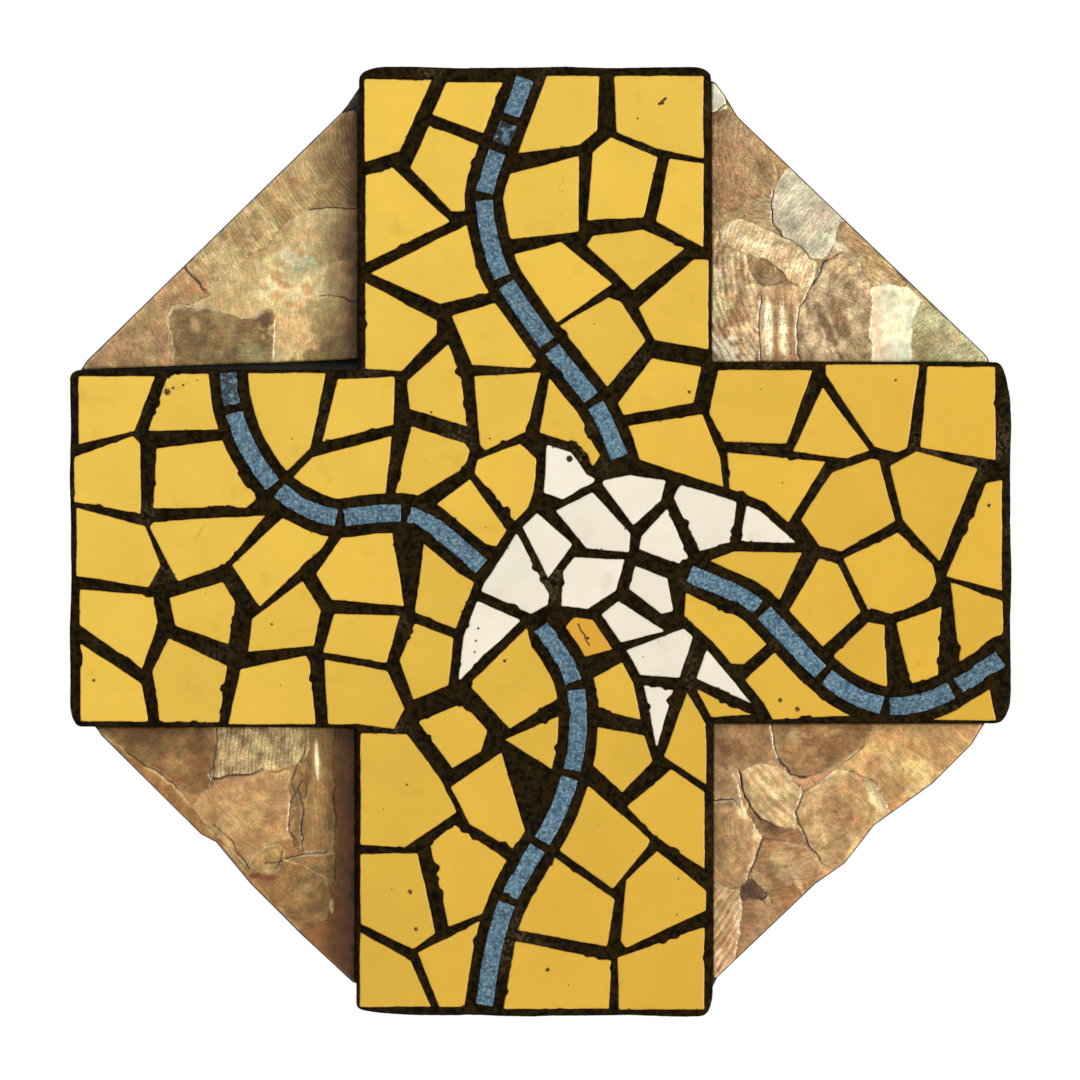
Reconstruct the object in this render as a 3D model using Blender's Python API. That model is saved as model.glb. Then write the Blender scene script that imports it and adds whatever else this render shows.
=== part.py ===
"""Mosaic cross, a wall plaque of broken tile on a black eight-sided board.

A raised cross carries yellow tile pieces, four lines of blue strips and a white dove, all
set in black grout. Four shell panels lie lower down, in the corners between its arms.

The front is laid out in millimetres, X to the right and Z up, about the middle of the
board's back. Depth is measured forwards from the wall: a depth of 9 lies at Y = -0.009.
"""

import math
import random

import bmesh
import bpy
from mathutils import Vector
from mathutils.geometry import delaunay_2d_cdt

MM = 0.001
GAP = 0.3

# Outer faces of the raised cross: where its arms meet, and how far they reach
INNER_CORNERS = {
    "top_left": (-57.6, 54.8),
    "top_right": (54.4, 57.2),
    "bottom_left": (-58.4, -58.8),
    "bottom_right": (54.9, -57.7),
}
END_LEFT, END_RIGHT = -149.6, 150.0
END_BOTTOM, END_TOP = -151.0, 151.2

# Depths from the wall
BOARD_FRONT = 9.0
PANEL_FRONT = 12.0
BLOCK_FRONT = 19.3
GROUT_FRONT = 23.4
TILE_FRONT = 24.0
BEDDING = 1.0

# Grout beyond the outermost tiles, along the arms' sides and at each arm's end
RIMS = {"side": 0.9, "left": 3.0, "right": 4.4, "bottom": 3.0, "top": 4.0}
NO_RIMS = dict.fromkeys(RIMS, 0.0)

# Cut off each outer corner of the block, so that grout goes round it where the ends curve back
BLOCK_CORNER = 3.0

# How each end curves back to the arm's two sides, going round anticlockwise: along the end, down the side
END_CORNERS = {
    "bottom": ((30.0, 3.2), (3.4, 8.0)),
    "right": ((10.0, 4.8), (20.0, 4.6)),
    "top": ((5.7, 3.5), (7.6, 4.1)),
    "left": ((2.6, 4.1), (7.3, 3.5)),
}
CORNER_PLACES = (0.0, 0.03, 0.12, 0.3, 0.6, 1.0)

# Low lumps along an end: height, waves in its length, the share of waves half as long, and step
END_LUMP = 0.7
END_WAVES = 2.25
SHORT_WAVES = 0.6
END_STEP = 8.0

# A corner moved out or in by more than this share of its reach is cut blunt
BLUNT_CORNER = 0.6
SHARPEST_CORNER = 0.25

# Joints between the pieces, narrowest and widest where there are two
YELLOW_JOINTS = (1.2, 3.6)
WHITE_JOINTS = (1.7, 3.3)
JOINT_TAPER = math.radians(3.5)
STREAM_JOINT = 2.9
STRIP_JOINT = 1.9
DOVE_JOINT = 2.7
SMALLEST_PIECE = 14.0

# Edges and bends too small to cut in a piece
SHORTEST_YELLOW = 2.4
SHORTEST_WHITE = 1.2
STRAIGHT = math.radians(4)

# A corner that turns back by this much beside an edge this short is a splinter, and is left out
SPLINTER_TURN = math.radians(110)
SPLINTER_EDGE = 4.0

# Blue strips
STRIP_WIDTH = 6.2
PATH_STEP = 4.0

# The board shows as a thin black edge past the panels, and stops short of the grout's ends
BOARD_REVEAL = 0.5
SHORTEST_BOARD_EDGE = 0.8
STRAIGHT_BOARD_EDGE = math.radians(0.5)
BOARD_SHY = 1.6
CENTRE = (19.0, -6.0)
REACH = 200.0

# Each stream's middle line, from the dove to the arm's end, and its strips' lengths in order
STREAMS = {
    "top": (
        [(25.4, 26.7), (17.8, 43.5), (6.4, 57.8), (-5.7, 74.4), (-13.7, 88.0), (-17.8, 107.1),
         (-16.2, 116.6), (-10.2, 132.5), (-4.6, 147.6)],
        (18.0, 19.5, 22.0, 24.5, 13.5, 7.5, 12.5),
    ),
    "left": (
        [(-18.4, -8.0), (-28.6, 0.8), (-39.7, 8.4), (-52.4, 9.0), (-65.1, 7.6), (-76.3, 11.8),
         (-85.2, 18.4), (-93.4, 30.8), (-97.9, 43.5), (-99.2, 54.2)],
        (29.0, 18.5, 21.0, 26.5, 11.0),
    ),
    "bottom": (
        [(0.0, -26.5), (6.4, -35.5), (11.1, -45.4), (12.1, -58.2), (10.2, -72.5), (4.1, -89.0),
         (-5.1, -104.2), (-11.4, -116.9), (-15.3, -131.3), (-17.8, -147.6)],
        (20.0, 24.5, 21.0, 17.0, 31.5),
    ),
    "right": (
        [(47.2, -10.0), (58.0, -14.5), (68.3, -19.8), (77.9, -29.6), (87.4, -39.7), (96.9, -47.2),
         (108.1, -52.0), (119.2, -51.6), (128.7, -48.2), (138.2, -42.4), (146.6, -37.0)],
        (22.5, 24.0, 18.5, 19.0, 15.0),
    ),
}

# Where each yellow piece lies, field by field between two streams
YELLOW_FIELDS = {
    ("top", "left"): [
        (-47, 135), (-24, 140), (-31, 122), (-47, 106), (-29, 86), (-47, 64.5), (-17, 65), (-32, 49),
        (-12, 43), (8, 38), (-80, 42), (-57, 42.5), (-58, 23), (-35, 25), (-10, 19), (-23, 9),
    ],
    ("left", "bottom"): [
        (-135, 44), (-112, 44), (-138, 21), (-109, 21), (-135, -3), (-108, -2), (-85, -7), (-55, -9),
        (-32, -14), (-133, -26), (-107, -21), (-137, -48), (-112, -44), (-81, -25), (-85, -49),
        (-56, -31), (-36, -38), (-56, -46), (-27, -62), (-45, -76), (-15, -81), (-8, -45),
        (-2, -70), (-46, -118), (-22, -106), (-48, -138), (-27, -138),
    ],
    ("bottom", "right"): [
        (21, -96), (43, -85), (12, -118), (38, -112), (8, -139), (39, -139), (24, -47), (26, -67),
        (49, -63), (61, -55), (79, -49), (61, -29), (14, -30), (140, -54),
    ],
    ("right", "top"): [
        (72, -10), (90, -21), (111, -11), (105, -37), (121, -34), (139, -26), (141, -4), (99, 12),
        (126, 12), (7, 137), (37, 137), (3, 108), (27, 113), (45, 109), (29, 91), (8, 84), (20, 65),
        (44, 73), (40, 49), (43, 31), (69, 43), (91, 34), (108, 46), (133, 43), (74, 19),
    ],
}

# Pieces larger or smaller than an even share of the room round them, by the shift of their joints
LARGE_PIECES = {
    (-109, 21): 1.5, (-55, -9): 2.5, (-45, -76): 2.0, (52, 7): 2.0, (-133, -26): 1.0, (79, -49): 2.0,
    (18, 5): 1.5, (-7, -9): 1.0, (27, 113): 1.5, (69, 43): 3.0, (91, 34): -2.0,
}

# Joints that don't lie square to the line between their two pieces, and their turns in degrees
JOINT_TURNS = {
    ((-135, 44), (-112, 44)): -20, ((-135, 44), (-138, 21)): 24, ((-138, 21), (-135, -3)): -20,
    ((-135, -3), (-108, -2)): 22, ((-108, -2), (-85, -7)): -30, ((-108, -2), (-107, -21)): 15,
    ((-85, -7), (-81, -25)): 28, ((-107, -21), (-112, -44)): -10, ((-133, -26), (-112, -44)): 18,
    ((-133, -26), (-137, -48)): -24, ((-135, -3), (-133, -26)): -12, ((-81, -25), (-85, -49)): 21,
    ((-85, -7), (-55, -9)): -28, ((-56, -31), (-56, -46)): -10, ((-57, 42.5), (-58, 23)): 17,
    ((-80, 42), (-57, 42.5)): -14, ((-47, 135), (-24, 140)): -36, ((-47, 135), (-31, 122)): 15,
    ((-47, 135), (-47, 106)): 17, ((-47, 106), (-29, 86)): -15, ((-29, 86), (-47, 64.5)): 14,
    ((-29, 86), (-17, 65)): -15, ((-17, 65), (-32, 49)): -25, ((-17, 65), (-12, 43)): -13,
    ((-32, 49), (-12, 43)): 23, ((-47, 64.5), (-57, 42.5)): 24, ((-57, 42.5), (-32, 49)): -13,
    ((7, 137), (3, 108)): 19, ((37, 137), (45, 109)): -26, ((3, 108), (27, 113)): -14,
    ((8, 84), (29, 91)): 30, ((45, 109), (29, 91)): 15, ((44, 73), (20, 65)): 11,
    ((43, 31), (74, 19)): 27, ((69, 43), (74, 19)): -15, ((91, 34), (74, 19)): 42,
    ((74, 19), (99, 12)): -17, ((99, 12), (126, 12)): 14, ((126, 12), (111, -11)): -12,
    ((126, 12), (141, -4)): 24, ((141, -4), (139, -26)): -12, ((121, -34), (139, -26)): -20,
    ((79, -49), (61, -55)): 20, ((-56, -46), (-45, -76)): -22, ((-45, -76), (-15, -81)): 36,
    ((-15, -81), (-22, -106)): -17, ((-15, -81), (-2, -70)): -22, ((-8, -45), (-2, -70)): 20,
    ((-46, -118), (-22, -106)): -14, ((-46, -118), (-48, -138)): -22, ((-46, -118), (-27, -138)): -12,
    ((-22, -106), (-27, -138)): 32, ((-48, -138), (-27, -138)): 23, ((21, -96), (12, -118)): -13,
    ((21, -96), (43, -85)): 19, ((43, -85), (38, -112)): -26, ((43, -85), (49, -63)): -18,
    ((21, -96), (26, -67)): -30, ((12, -118), (38, -112)): -20, ((38, -112), (39, -139)): 20,
    ((26, -67), (24, -47)): -18, ((-12, 43), (-10, 19)): 18, ((-58, 23), (-35, 25)): -14,
    ((-32, 49), (-35, 25)): -10, ((-55, -9), (-32, -14)): 18, ((-32, -14), (-36, -38)): -12,
    ((18, 5), (1, 1)): 29, ((1, 1), (-7, -9)): -24, ((28, -26), (39, -36)): -30,
}

# Pieces laid short of their joints, and by how much
SHORT_PIECES = {
    (-27, -62): 2.0, (-107, -21): 1.5, (40, 49): 1.9, (-17, 65): 0.9, (8, 38): 0.8, (-32, 49): 0.8,
    (91, 34): 0.3, (61, -29): 1.4, (72, -10): 1.6, (-36, -38): 0.8, (26, -67): 1.7, (24, -47): 0.8,
    (-138, 21): 0.5, (126, 12): 0.5, (-47, 135): 1.5, (-24, 140): 0.7, (7, 137): 1.5, (29, 91): 0.9,
    (-81, -25): 0.9, (44, 73): 0.3, (3, 108): 0.6, (-29, 86): 1.0, (90, -21): 0.6, (105, -37): 0.8,
    (121, -34): 1.2, (-10, 19): 0.5, (-35, 25): 0.6, (35, -16): 1.2, (41, 2): 0.6, (-133, -26): 1.0,
    (-55, -9): 0.4, (-22, -106): 0.6,
}

# Outermost pieces that lie further in than the rest, or if negative further out: at the side, at the end
OUTER_PIECES = {
    (8, -139): (0.0, -0.6), (39, -139): (1.5, -0.8), (-46, -118): (0.2, 0.0), (-45, -76): (0.2, 0.0),
    (38, -112): (1.1, 0.0), (43, -85): (1.4, 0.0), (49, -63): (0.9, 0.0), (-138, 21): (0.0, -1.7),
    (-137, -48): (0.6, 0.3), (-135, -3): (0.0, -1.0), (-135, 44): (1.0, -0.3), (133, 43): (0.3, 0.6),
    (139, -26): (0.0, -1.7), (141, -4): (0.0, -1.5), (-47, 135): (0.7, 0.0), (-24, 140): (0.0, 0.9),
    (7, 137): (0.0, -1.1), (37, 137): (1.3, -1.1), (-112, -44): (0.4, 0.0), (-85, -49): (-0.3, 0.0),
    (-56, -46): (-0.3, 0.0), (-112, 44): (0.2, 0.0), (69, 43): (1.4, 0.0), (108, 46): (-0.3, 0.0),
    (-47, 64.5): (0.9, 0.0), (-47, 106): (1.0, 0.0), (44, 73): (-0.3, 0.0), (45, 109): (1.3, 0.0),
    (61, -55): (0.8, 0.0), (140, -54): (-0.3, 0.2),
}

# The dove's silhouette, from the beak over the back to the throat
DOVE = [
    (2.0, 31.0), (10.0, 28.5), (15.0, 21.5), (19.0, 19.5), (28.5, 21.5), (41.0, 19.5),
    (62.5, 13.0), (70.0, 10.0), (82.0, -0.5), (61.5, 0.0), (51.5, -2.6), (45.0, -6.4),
    (40.5, -11.5), (43.0, -25.0), (53.0, -34.0), (68.0, -52.0), (49.5, -43.5), (43.0, -45.5),
    (37.0, -66.0), (32.5, -44.0), (28.5, -36.5), (18.5, -22.0), (3.0, -20.0), (-5.5, -24.5),
    (-9.5, -28.0), (-26.0, -44.5), (-24.5, -30.0), (-18.0, -13.5), (-8.0, 2.5), (-1.0, 9.5),
    (1.0, 15.5),
]

WHITE_PIECES = {
    "white_head": (8, 24),
    "white_neck": (18, 5),
    "white_shoulder": (29, 14),
    "white_wing_right_inner": (41, 2),
    "white_wing_right_middle": (52, 7),
    "white_wing_right_tip": (72, 4),
    "white_wing_left_inner": (1, 1),
    "white_wing_left_middle": (-7, -9),
    "white_wing_left_tip": (-17, -31),
    "white_breast": (17, -11),
    "white_back": (35, -16),
    "white_belly": (28, -26),
    "white_rump": (39, -36),
    "white_tail_right": (56, -42),
    "white_tail_left": (37, -53),
}

# Each panel's outer edge, from its tip on the bar's side to its tip on the stem's side
PANEL_EDGES = {
    "top_left": [(-145.6, 56.0), (-144.4, 57.8), (-63.3, 136.8), (-59.6, 137.8)],
    "bottom_left": [
        (-140.9, -60.0), (-139.9, -61.6), (-119.2, -82.2), (-108.1, -93.1), (-103.3, -95.6),
        (-92.2, -109.0), (-76.3, -124.9), (-59.6, -140.4),
    ],
    "bottom_right": [
        (141.0, -59.0), (137.6, -64.5), (125.2, -76.9), (106.5, -90.3), (97.2, -102.3),
        (87.7, -109.0), (56.2, -139.0),
    ],
    "top_right": [(142.8, 58.6), (141.6, 60.0), (62.8, 135.6), (58.6, 142.6), (55.8, 146.4)],
}
PANEL_SLACK = {"top_left": 3.2}

# The bare corner of the board beside the top arm, where the panel stops short
BARE_BOARD = [(-57.3, 145.2), (-61.2, 139.4)]

PAINT_BLACK = ("black_paint", (0.012, 0.010, 0.008), 0.55)
GROUT_BLACK = ("black_grout", (0.018, 0.015, 0.010), 0.90)
YELLOW_GLAZE = ("yellow_glaze", (0.80, 0.54, 0.07), 0.30)
BLUE_GLAZE = ("blue_glaze", (0.10, 0.25, 0.45), 0.35)
WHITE_GLAZE = ("white_glaze", (0.88, 0.84, 0.74), 0.28)
SHELL = ("lacquered_shell", (0.38, 0.26, 0.13), 0.22)


def signed_area(loop):
    """Area inside a loop, positive where it runs anticlockwise."""
    return 0.5 * sum(a[0] * b[1] - b[0] * a[1] for a, b in zip(loop, loop[1:] + loop[:1]))


def anticlockwise(loop):
    return loop if signed_area(loop) > 0 else loop[::-1]


def cut(loop, point, away):
    """What is left of a convex loop on the near side of a line through the point."""
    kept = []
    for here, there in zip(loop, loop[1:] + loop[:1]):
        near = (here[0] - point[0]) * away[0] + (here[1] - point[1]) * away[1]
        far = (there[0] - point[0]) * away[0] + (there[1] - point[1]) * away[1]
        if near <= 0:
            kept.append(here)
        if (near < 0 < far) or (far < 0 < near):
            share = near / (near - far)
            kept.append((here[0] + share * (there[0] - here[0]), here[1] + share * (there[1] - here[1])))
    return kept


def inset(loop, distance):
    """The loop moved inwards by the distance, or outwards where it is negative."""
    loop = [Vector(p) for p in anticlockwise(loop)]
    moved = []
    for before, here, after in zip(loop[-1:] + loop[:-1], loop, loop[1:] + loop[:1]):
        into = (here - before).normalized()
        out = (after - here).normalized()
        first = Vector((-into.y, into.x))
        second = Vector((-out.y, out.x))
        bisector = (first + second).normalized()
        openness = bisector.dot(first)
        reach = distance / max(openness, SHARPEST_CORNER)
        if reach < 0 and openness < BLUNT_CORNER:
            moved += [here + (first - into * BLUNT_CORNER) * distance,
                      here + (second + out * BLUNT_CORNER) * distance]
        else:
            moved.append(here + bisector * reach)
    return [(p.x, p.y) for p in moved]


def simplified(loop, shortest, bend):
    """The loop without its shortest edges, its splinters and the corners that hardly turn."""
    loop = list(loop)
    changed = True
    while changed and len(loop) > 3:
        changed = False
        for i, here in enumerate(loop):
            before, after = Vector(loop[i - 1]), Vector(loop[(i + 1) % len(loop)])
            here = Vector(here)
            into, out = here - before, after - here
            turn = abs(into.angle_signed(out, 0.0))
            splinter = turn > SPLINTER_TURN and min(into.length, out.length) < SPLINTER_EDGE
            if into.length < shortest or turn < bend or splinter:
                del loop[i]
                changed = True
                break
    return loop


def region(inside, outside):
    """The largest loop round what lies in every loop of the first list and in none of the second."""
    verts, faces = [], []
    for loop in inside + outside:
        faces.append(list(range(len(verts), len(verts) + len(loop))))
        verts += [Vector(p) for p in anticlockwise(loop)]
    points, _, triangles, _, _, sources = delaunay_2d_cdt(verts, [], faces, 1, 1e-5)
    wanted, barred = set(range(len(inside))), set(range(len(inside), len(faces)))
    edges = set()
    for triangle, source in zip(triangles, sources):
        if wanted <= set(source) and not barred & set(source):
            edges |= set(zip(triangle, triangle[1:] + triangle[:1]))
    onward = {a: b for a, b in edges if (b, a) not in edges}
    best = []
    while onward:
        start, here = next(iter(sorted(onward.items())))
        del onward[start]
        loop = [start]
        while here != start and here in onward:
            loop.append(here)
            here = onward.pop(here)
        loop = [tuple(points[i]) for i in loop]
        if len(loop) > 2 and abs(signed_area(loop)) > abs(signed_area(best)):
            best = loop
    return best


def smooth_path(points, step):
    """Evenly spaced points along a smooth curve through the given ones."""
    ends = [Vector(points[0]) * 2 - Vector(points[1])], [Vector(points[-1]) * 2 - Vector(points[-2])]
    knots = ends[0] + [Vector(p) for p in points] + ends[1]
    fine = []
    for a, b, c, d in zip(knots, knots[1:], knots[2:], knots[3:]):
        for i in range(16):
            t = i / 16
            fine.append(
                (b * 2 + (c - a) * t + (a * 2 - b * 5 + c * 4 - d) * t**2 + (b * 3 - a - c * 3 + d) * t**3) / 2
            )
    fine.append(knots[-2])
    total = sum((b - a).length for a, b in zip(fine, fine[1:]))
    count = max(2, round(total / step))
    return [along(fine, total * i / count) for i in range(count + 1)]


def along(path, distance):
    """The point at a distance along a path."""
    for here, there in zip(path, path[1:]):
        length = (there - here).length
        if distance <= length:
            return here.lerp(there, distance / length)
        distance -= length
    return path[-1]


def band(path, half_width):
    """The loop that lies within half a width of a path."""
    left, right = [], []
    for i, here in enumerate(path):
        direction = (path[min(i + 1, len(path) - 1)] - path[max(i - 1, 0)]).normalized()
        side = Vector((-direction.y, direction.x)) * half_width
        left.append(tuple(here + side))
        right.append(tuple(here - side))
    return anticlockwise(left + right[::-1])


def broken_cells(seeds, widths, chance):
    """For each seed, the tile piece about it: cut towards every other seed, a joint apart."""
    joint = {}
    for i in range(len(seeds)):
        for j in range(i + 1, len(seeds)):
            pair = (seeds[i], seeds[j])
            turn = math.radians(JOINT_TURNS.get(pair, 0.0) or JOINT_TURNS.get(pair[::-1], 0.0))
            width = chance.uniform(*widths)
            taper = chance.uniform(-JOINT_TAPER, JOINT_TAPER)
            joint[i, j] = (width, turn + taper)
            joint[j, i] = (width, turn - taper)
    cells = []
    for i, seed in enumerate(seeds):
        here = Vector(seed)
        cell = [(-REACH, -REACH), (REACH, -REACH), (REACH, REACH), (-REACH, REACH)]
        for j, other in enumerate(seeds):
            if i == j:
                continue
            width, tilt = joint[i, j]
            away = (Vector(other) - here).normalized()
            extra = LARGE_PIECES.get(seed, 0.0) - LARGE_PIECES.get(other, 0.0)
            short = SHORT_PIECES.get(seed, 0.0)
            point = (here + Vector(other)) / 2 + away * ((extra - width) / 2 - short)
            cos, sin = math.cos(tilt), math.sin(tilt)
            cell = cut(cell, point, (away.x * cos - away.y * sin, away.x * sin + away.y * cos))
        cells.append(cell)
    return cells


def cross_loop(rims, less=0.0):
    """The cross's twelve corners, drawn in by its rims, or by less than them."""
    side, left, right, bottom, top = (rim - less for rim in rims.values())
    inner = {
        name: (x + side if x < 0 else x - side, z + side if z < 0 else z - side)
        for name, (x, z) in INNER_CORNERS.items()
    }
    left, right = END_LEFT + left, END_RIGHT - right
    bottom, top = END_BOTTOM + bottom, END_TOP - top
    return [
        (inner["bottom_left"][0], bottom), (inner["bottom_right"][0], bottom), inner["bottom_right"],
        (right, inner["bottom_right"][1]), (right, inner["top_right"][1]), inner["top_right"],
        (inner["top_right"][0], top), (inner["top_left"][0], top), inner["top_left"],
        (left, inner["top_left"][1]), (left, inner["bottom_left"][1]), inner["bottom_left"],
    ]


def block_loop(less=0.0):
    """The cross drawn in by its rims, or by less than them, with its eight outer corners cut off."""
    loop = cross_loop(RIMS, less)
    outline = []
    for i, corner in enumerate(loop):
        if i % 3 == 2:
            outline.append(corner)
            continue
        here = Vector(corner)
        for other in (loop[i - 1], loop[(i + 1) % len(loop)]):
            outline.append(tuple(here + (Vector(other) - here).normalized() * BLOCK_CORNER))
    return outline


def curve_back(share):
    """How far an end has curved back, from 1 at the arm's side to 0 where the end runs straight."""
    return 1 - math.sqrt(1 - max(0.0, 1 - share) ** 2)


def uneven_end(here, there, corners, chance):
    """Points along an arm's end: curved back at its corners, with low lumps of grout between them."""
    start, stop = Vector(here), Vector(there)
    length = (stop - start).length
    forward = (stop - start) / length
    inward = Vector((-forward.y, forward.x))
    phases = [chance.uniform(0, math.tau) for _ in range(2)]
    (first_reach, first_fall), (last_reach, last_fall) = corners
    straight = length - first_reach - last_reach
    count = max(1, round(straight / END_STEP))
    places = [first_reach * share for share in CORNER_PLACES]
    places += [first_reach + straight * i / count for i in range(1, count)]
    places += [length - last_reach * share for share in reversed(CORNER_PLACES)]
    points = []
    for place in places:
        depth = first_fall * curve_back(place / first_reach)
        depth += last_fall * curve_back((length - place) / last_reach)
        turn = END_WAVES * math.tau * place / length
        lump = math.sin(turn + phases[0]) + SHORT_WAVES * math.sin(2 * turn + phases[1])
        rise = (1 + lump / (1 + SHORT_WAVES)) / 2
        depth += END_LUMP * rise * math.sqrt(math.sin(place / length * math.pi))
        points.append(tuple(start + forward * place + inward * depth))
    return points


def grout_outline():
    corners = cross_loop(NO_RIMS)
    chance = random.Random(5)
    outline = []
    for i, end in enumerate(END_CORNERS.values()):
        outline += uneven_end(corners[i * 3], corners[i * 3 + 1], end, chance)
        outline.append(corners[i * 3 + 2])
    return outline


def panel_outline(corner):
    """A panel's outer edge, closed by the two sides that face the cross."""
    edge = PANEL_EDGES[corner]
    x, z = INNER_CORNERS[corner]
    stem, bar = x + math.copysign(GAP, x), z + math.copysign(GAP, z)
    inner = (stem, bar + PANEL_SLACK.get(corner, 0.0))
    return anticlockwise([(edge[0][0], bar)] + edge + [(stem, edge[-1][1]), inner])


def board_outline():
    """The panels' outer edges, joined across the arms' ends, which the grout just hides."""
    left, right = END_LEFT + BOARD_SHY, END_RIGHT - BOARD_SHY
    bottom, top = END_BOTTOM + BOARD_SHY, END_TOP - BOARD_SHY
    corner = INNER_CORNERS
    reach = {end: [along_end for along_end, _ in corners] for end, corners in END_CORNERS.items()}
    chain = (
        [(left, corner["top_left"][1] - reach["left"][0]), (left, corner["bottom_left"][1] + reach["left"][1])]
        + PANEL_EDGES["bottom_left"]
        + [(corner["bottom_left"][0] + reach["bottom"][0], bottom)]
        + [(corner["bottom_right"][0] - reach["bottom"][1], bottom)]
        + PANEL_EDGES["bottom_right"][::-1]
        + [(right, corner["bottom_right"][1] + reach["right"][0])]
        + [(right, corner["top_right"][1] - reach["right"][1])]
        + PANEL_EDGES["top_right"]
        + [(corner["top_right"][0] - reach["top"][0], top), (corner["top_left"][0] + reach["top"][1], top)]
        + BARE_BOARD
        + PANEL_EDGES["top_left"][-2::-1]
    )
    return simplified(inset(chain, -BOARD_REVEAL), SHORTEST_BOARD_EDGE, STRAIGHT_BOARD_EDGE)


def stream_loops():
    """Each stream's path, and the band of joint and strips that no yellow piece enters."""
    paths = {name: smooth_path(points, PATH_STEP) for name, (points, _) in STREAMS.items()}
    bands = {}
    for name, path in paths.items():
        beyond = path[-1] + (path[-1] - path[-2]) * 3
        reach = [Vector(CENTRE)] + path + [beyond]
        bands[name] = band(reach, STRIP_WIDTH / 2 + STREAM_JOINT)
    return paths, bands


def far_corners(first, second):
    """Points well outside the cross, leading from one stream's end round to the next one's."""
    ends = {
        "top": (STREAMS["top"][0][-1][0], REACH),
        "left": (STREAMS["left"][0][-1][0], REACH),
        "bottom": (STREAMS["bottom"][0][-1][0], -REACH),
        "right": (REACH, STREAMS["right"][0][-1][1]),
    }
    between = {
        ("left", "bottom"): [(-REACH, REACH), (-REACH, -REACH)],
        ("bottom", "right"): [(REACH, -REACH)],
        ("right", "top"): [(REACH, REACH)],
    }
    return [ends[first]] + between.get((first, second), []) + [ends[second]]


def yellow_loops(paths, bands):
    """The hole in the grout for each yellow piece."""
    chance = random.Random(11)
    dove = inset(DOVE, -DOVE_JOINT)
    loops = []
    for (first, second), seeds in YELLOW_FIELDS.items():
        out = [tuple(p) for p in paths[first]]
        back = [tuple(p) for p in reversed(paths[second])]
        field = [CENTRE] + out + far_corners(first, second) + back
        for seed, cell in zip(seeds, broken_cells(seeds, YELLOW_JOINTS, chance)):
            side, end = OUTER_PIECES.get(seed, (0.0, 0.0))
            rims = {name: rim + (side if name == "side" else end) for name, rim in RIMS.items()}
            loop = region([cell, field, cross_loop(rims)], [bands[first], bands[second], dove])
            loop = simplified(loop, SHORTEST_YELLOW, STRAIGHT)
            if abs(signed_area(loop)) > SMALLEST_PIECE:
                loops.append(anticlockwise(loop))
    return loops


def white_loops():
    chance = random.Random(3)
    cells = broken_cells(list(WHITE_PIECES.values()), WHITE_JOINTS, chance)
    loops = [simplified(region([cell, DOVE], []), SHORTEST_WHITE, STRAIGHT) for cell in cells]
    return {name: anticlockwise(loop) for name, loop in zip(WHITE_PIECES, loops)}


def strip_loops(paths):
    """The hole in the grout for each blue strip, spread evenly along its stream."""
    loops = {}
    for name, (_, lengths) in STREAMS.items():
        path = paths[name]
        total = sum((b - a).length for a, b in zip(path, path[1:]))
        share = (total - STRIP_JOINT * (len(lengths) - 1)) / sum(lengths)
        start = 0.0
        for number, length in enumerate([length * share for length in lengths], 1):
            count = max(2, round(length / PATH_STEP / 1.5))
            middle = [along(path, start + length * i / count) for i in range(count + 1)]
            loops[f"blue_strip_{name}_{number}"] = band(middle, STRIP_WIDTH / 2)
            start += length + STRIP_JOINT
    return loops


def material(name, colour, roughness):
    """A plain Principled material, made once and shared."""
    made = bpy.data.materials.get(name)
    if made is None:
        made = bpy.data.materials.new(name)
        made.use_nodes = True
        made.diffuse_color = (*colour, 1.0)
        shader = made.node_tree.nodes["Principled BSDF"]
        shader.inputs["Base Color"].default_value = (*colour, 1.0)
        shader.inputs["Roughness"].default_value = roughness
        shader.inputs["Metallic"].default_value = 0.0
    return made


def slab(name, loops, back, front, finish, collection):
    """Flat outlines given a thickness between two depths. A loop within a loop is a hole."""
    curve = bpy.data.curves.new(name, "CURVE")
    curve.dimensions = "2D"
    curve.fill_mode = "BOTH"
    curve.extrude = (front - back) / 2 * MM
    for loop in loops:
        spline = curve.splines.new("POLY")
        spline.points.add(len(loop) - 1)
        spline.use_cyclic_u = True
        for point, (x, z) in zip(spline.points, loop):
            point.co = (x * MM, z * MM, 0.0, 1.0)
    obj = bpy.data.objects.new(name, curve)
    obj.rotation_euler = (math.pi / 2, 0.0, 0.0)
    obj.location = (0.0, -(front + back) / 2 * MM, 0.0)
    collection.objects.link(obj)
    curve.materials.append(material(*finish))
    return obj


def as_mesh(obj, collection):
    """The curve object made a mesh object with its caps welded to its sides."""
    bpy.context.view_layer.update()
    evaluated = obj.evaluated_get(bpy.context.evaluated_depsgraph_get())
    mesh = bpy.data.meshes.new_from_object(evaluated)
    welded = bmesh.new()
    welded.from_mesh(mesh)
    bmesh.ops.remove_doubles(welded, verts=welded.verts, dist=1e-6)
    welded.to_mesh(mesh)
    welded.free()
    name = obj.name
    place = obj.matrix_world.copy()
    bpy.data.objects.remove(obj)
    made = bpy.data.objects.new(name, mesh)
    made.matrix_world = place
    collection.objects.link(made)
    return made


def combine(obj, operation, other):
    """Adds a Boolean with another object, which becomes a hidden guide."""
    boolean = obj.modifiers.new(other.name, "BOOLEAN")
    boolean.operation = operation
    boolean.solver = "EXACT"
    boolean.object = other
    other.hide_render = True
    other.display_type = "WIRE"


def make_board(parts):
    slab("backing_board", [board_outline()], 0.0, BOARD_FRONT, PAINT_BLACK, parts)


def make_panels(parts):
    for corner in PANEL_EDGES:
        slab(f"shell_panel_{corner}", [panel_outline(corner)], BOARD_FRONT + GAP, PANEL_FRONT, SHELL, parts)


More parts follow.
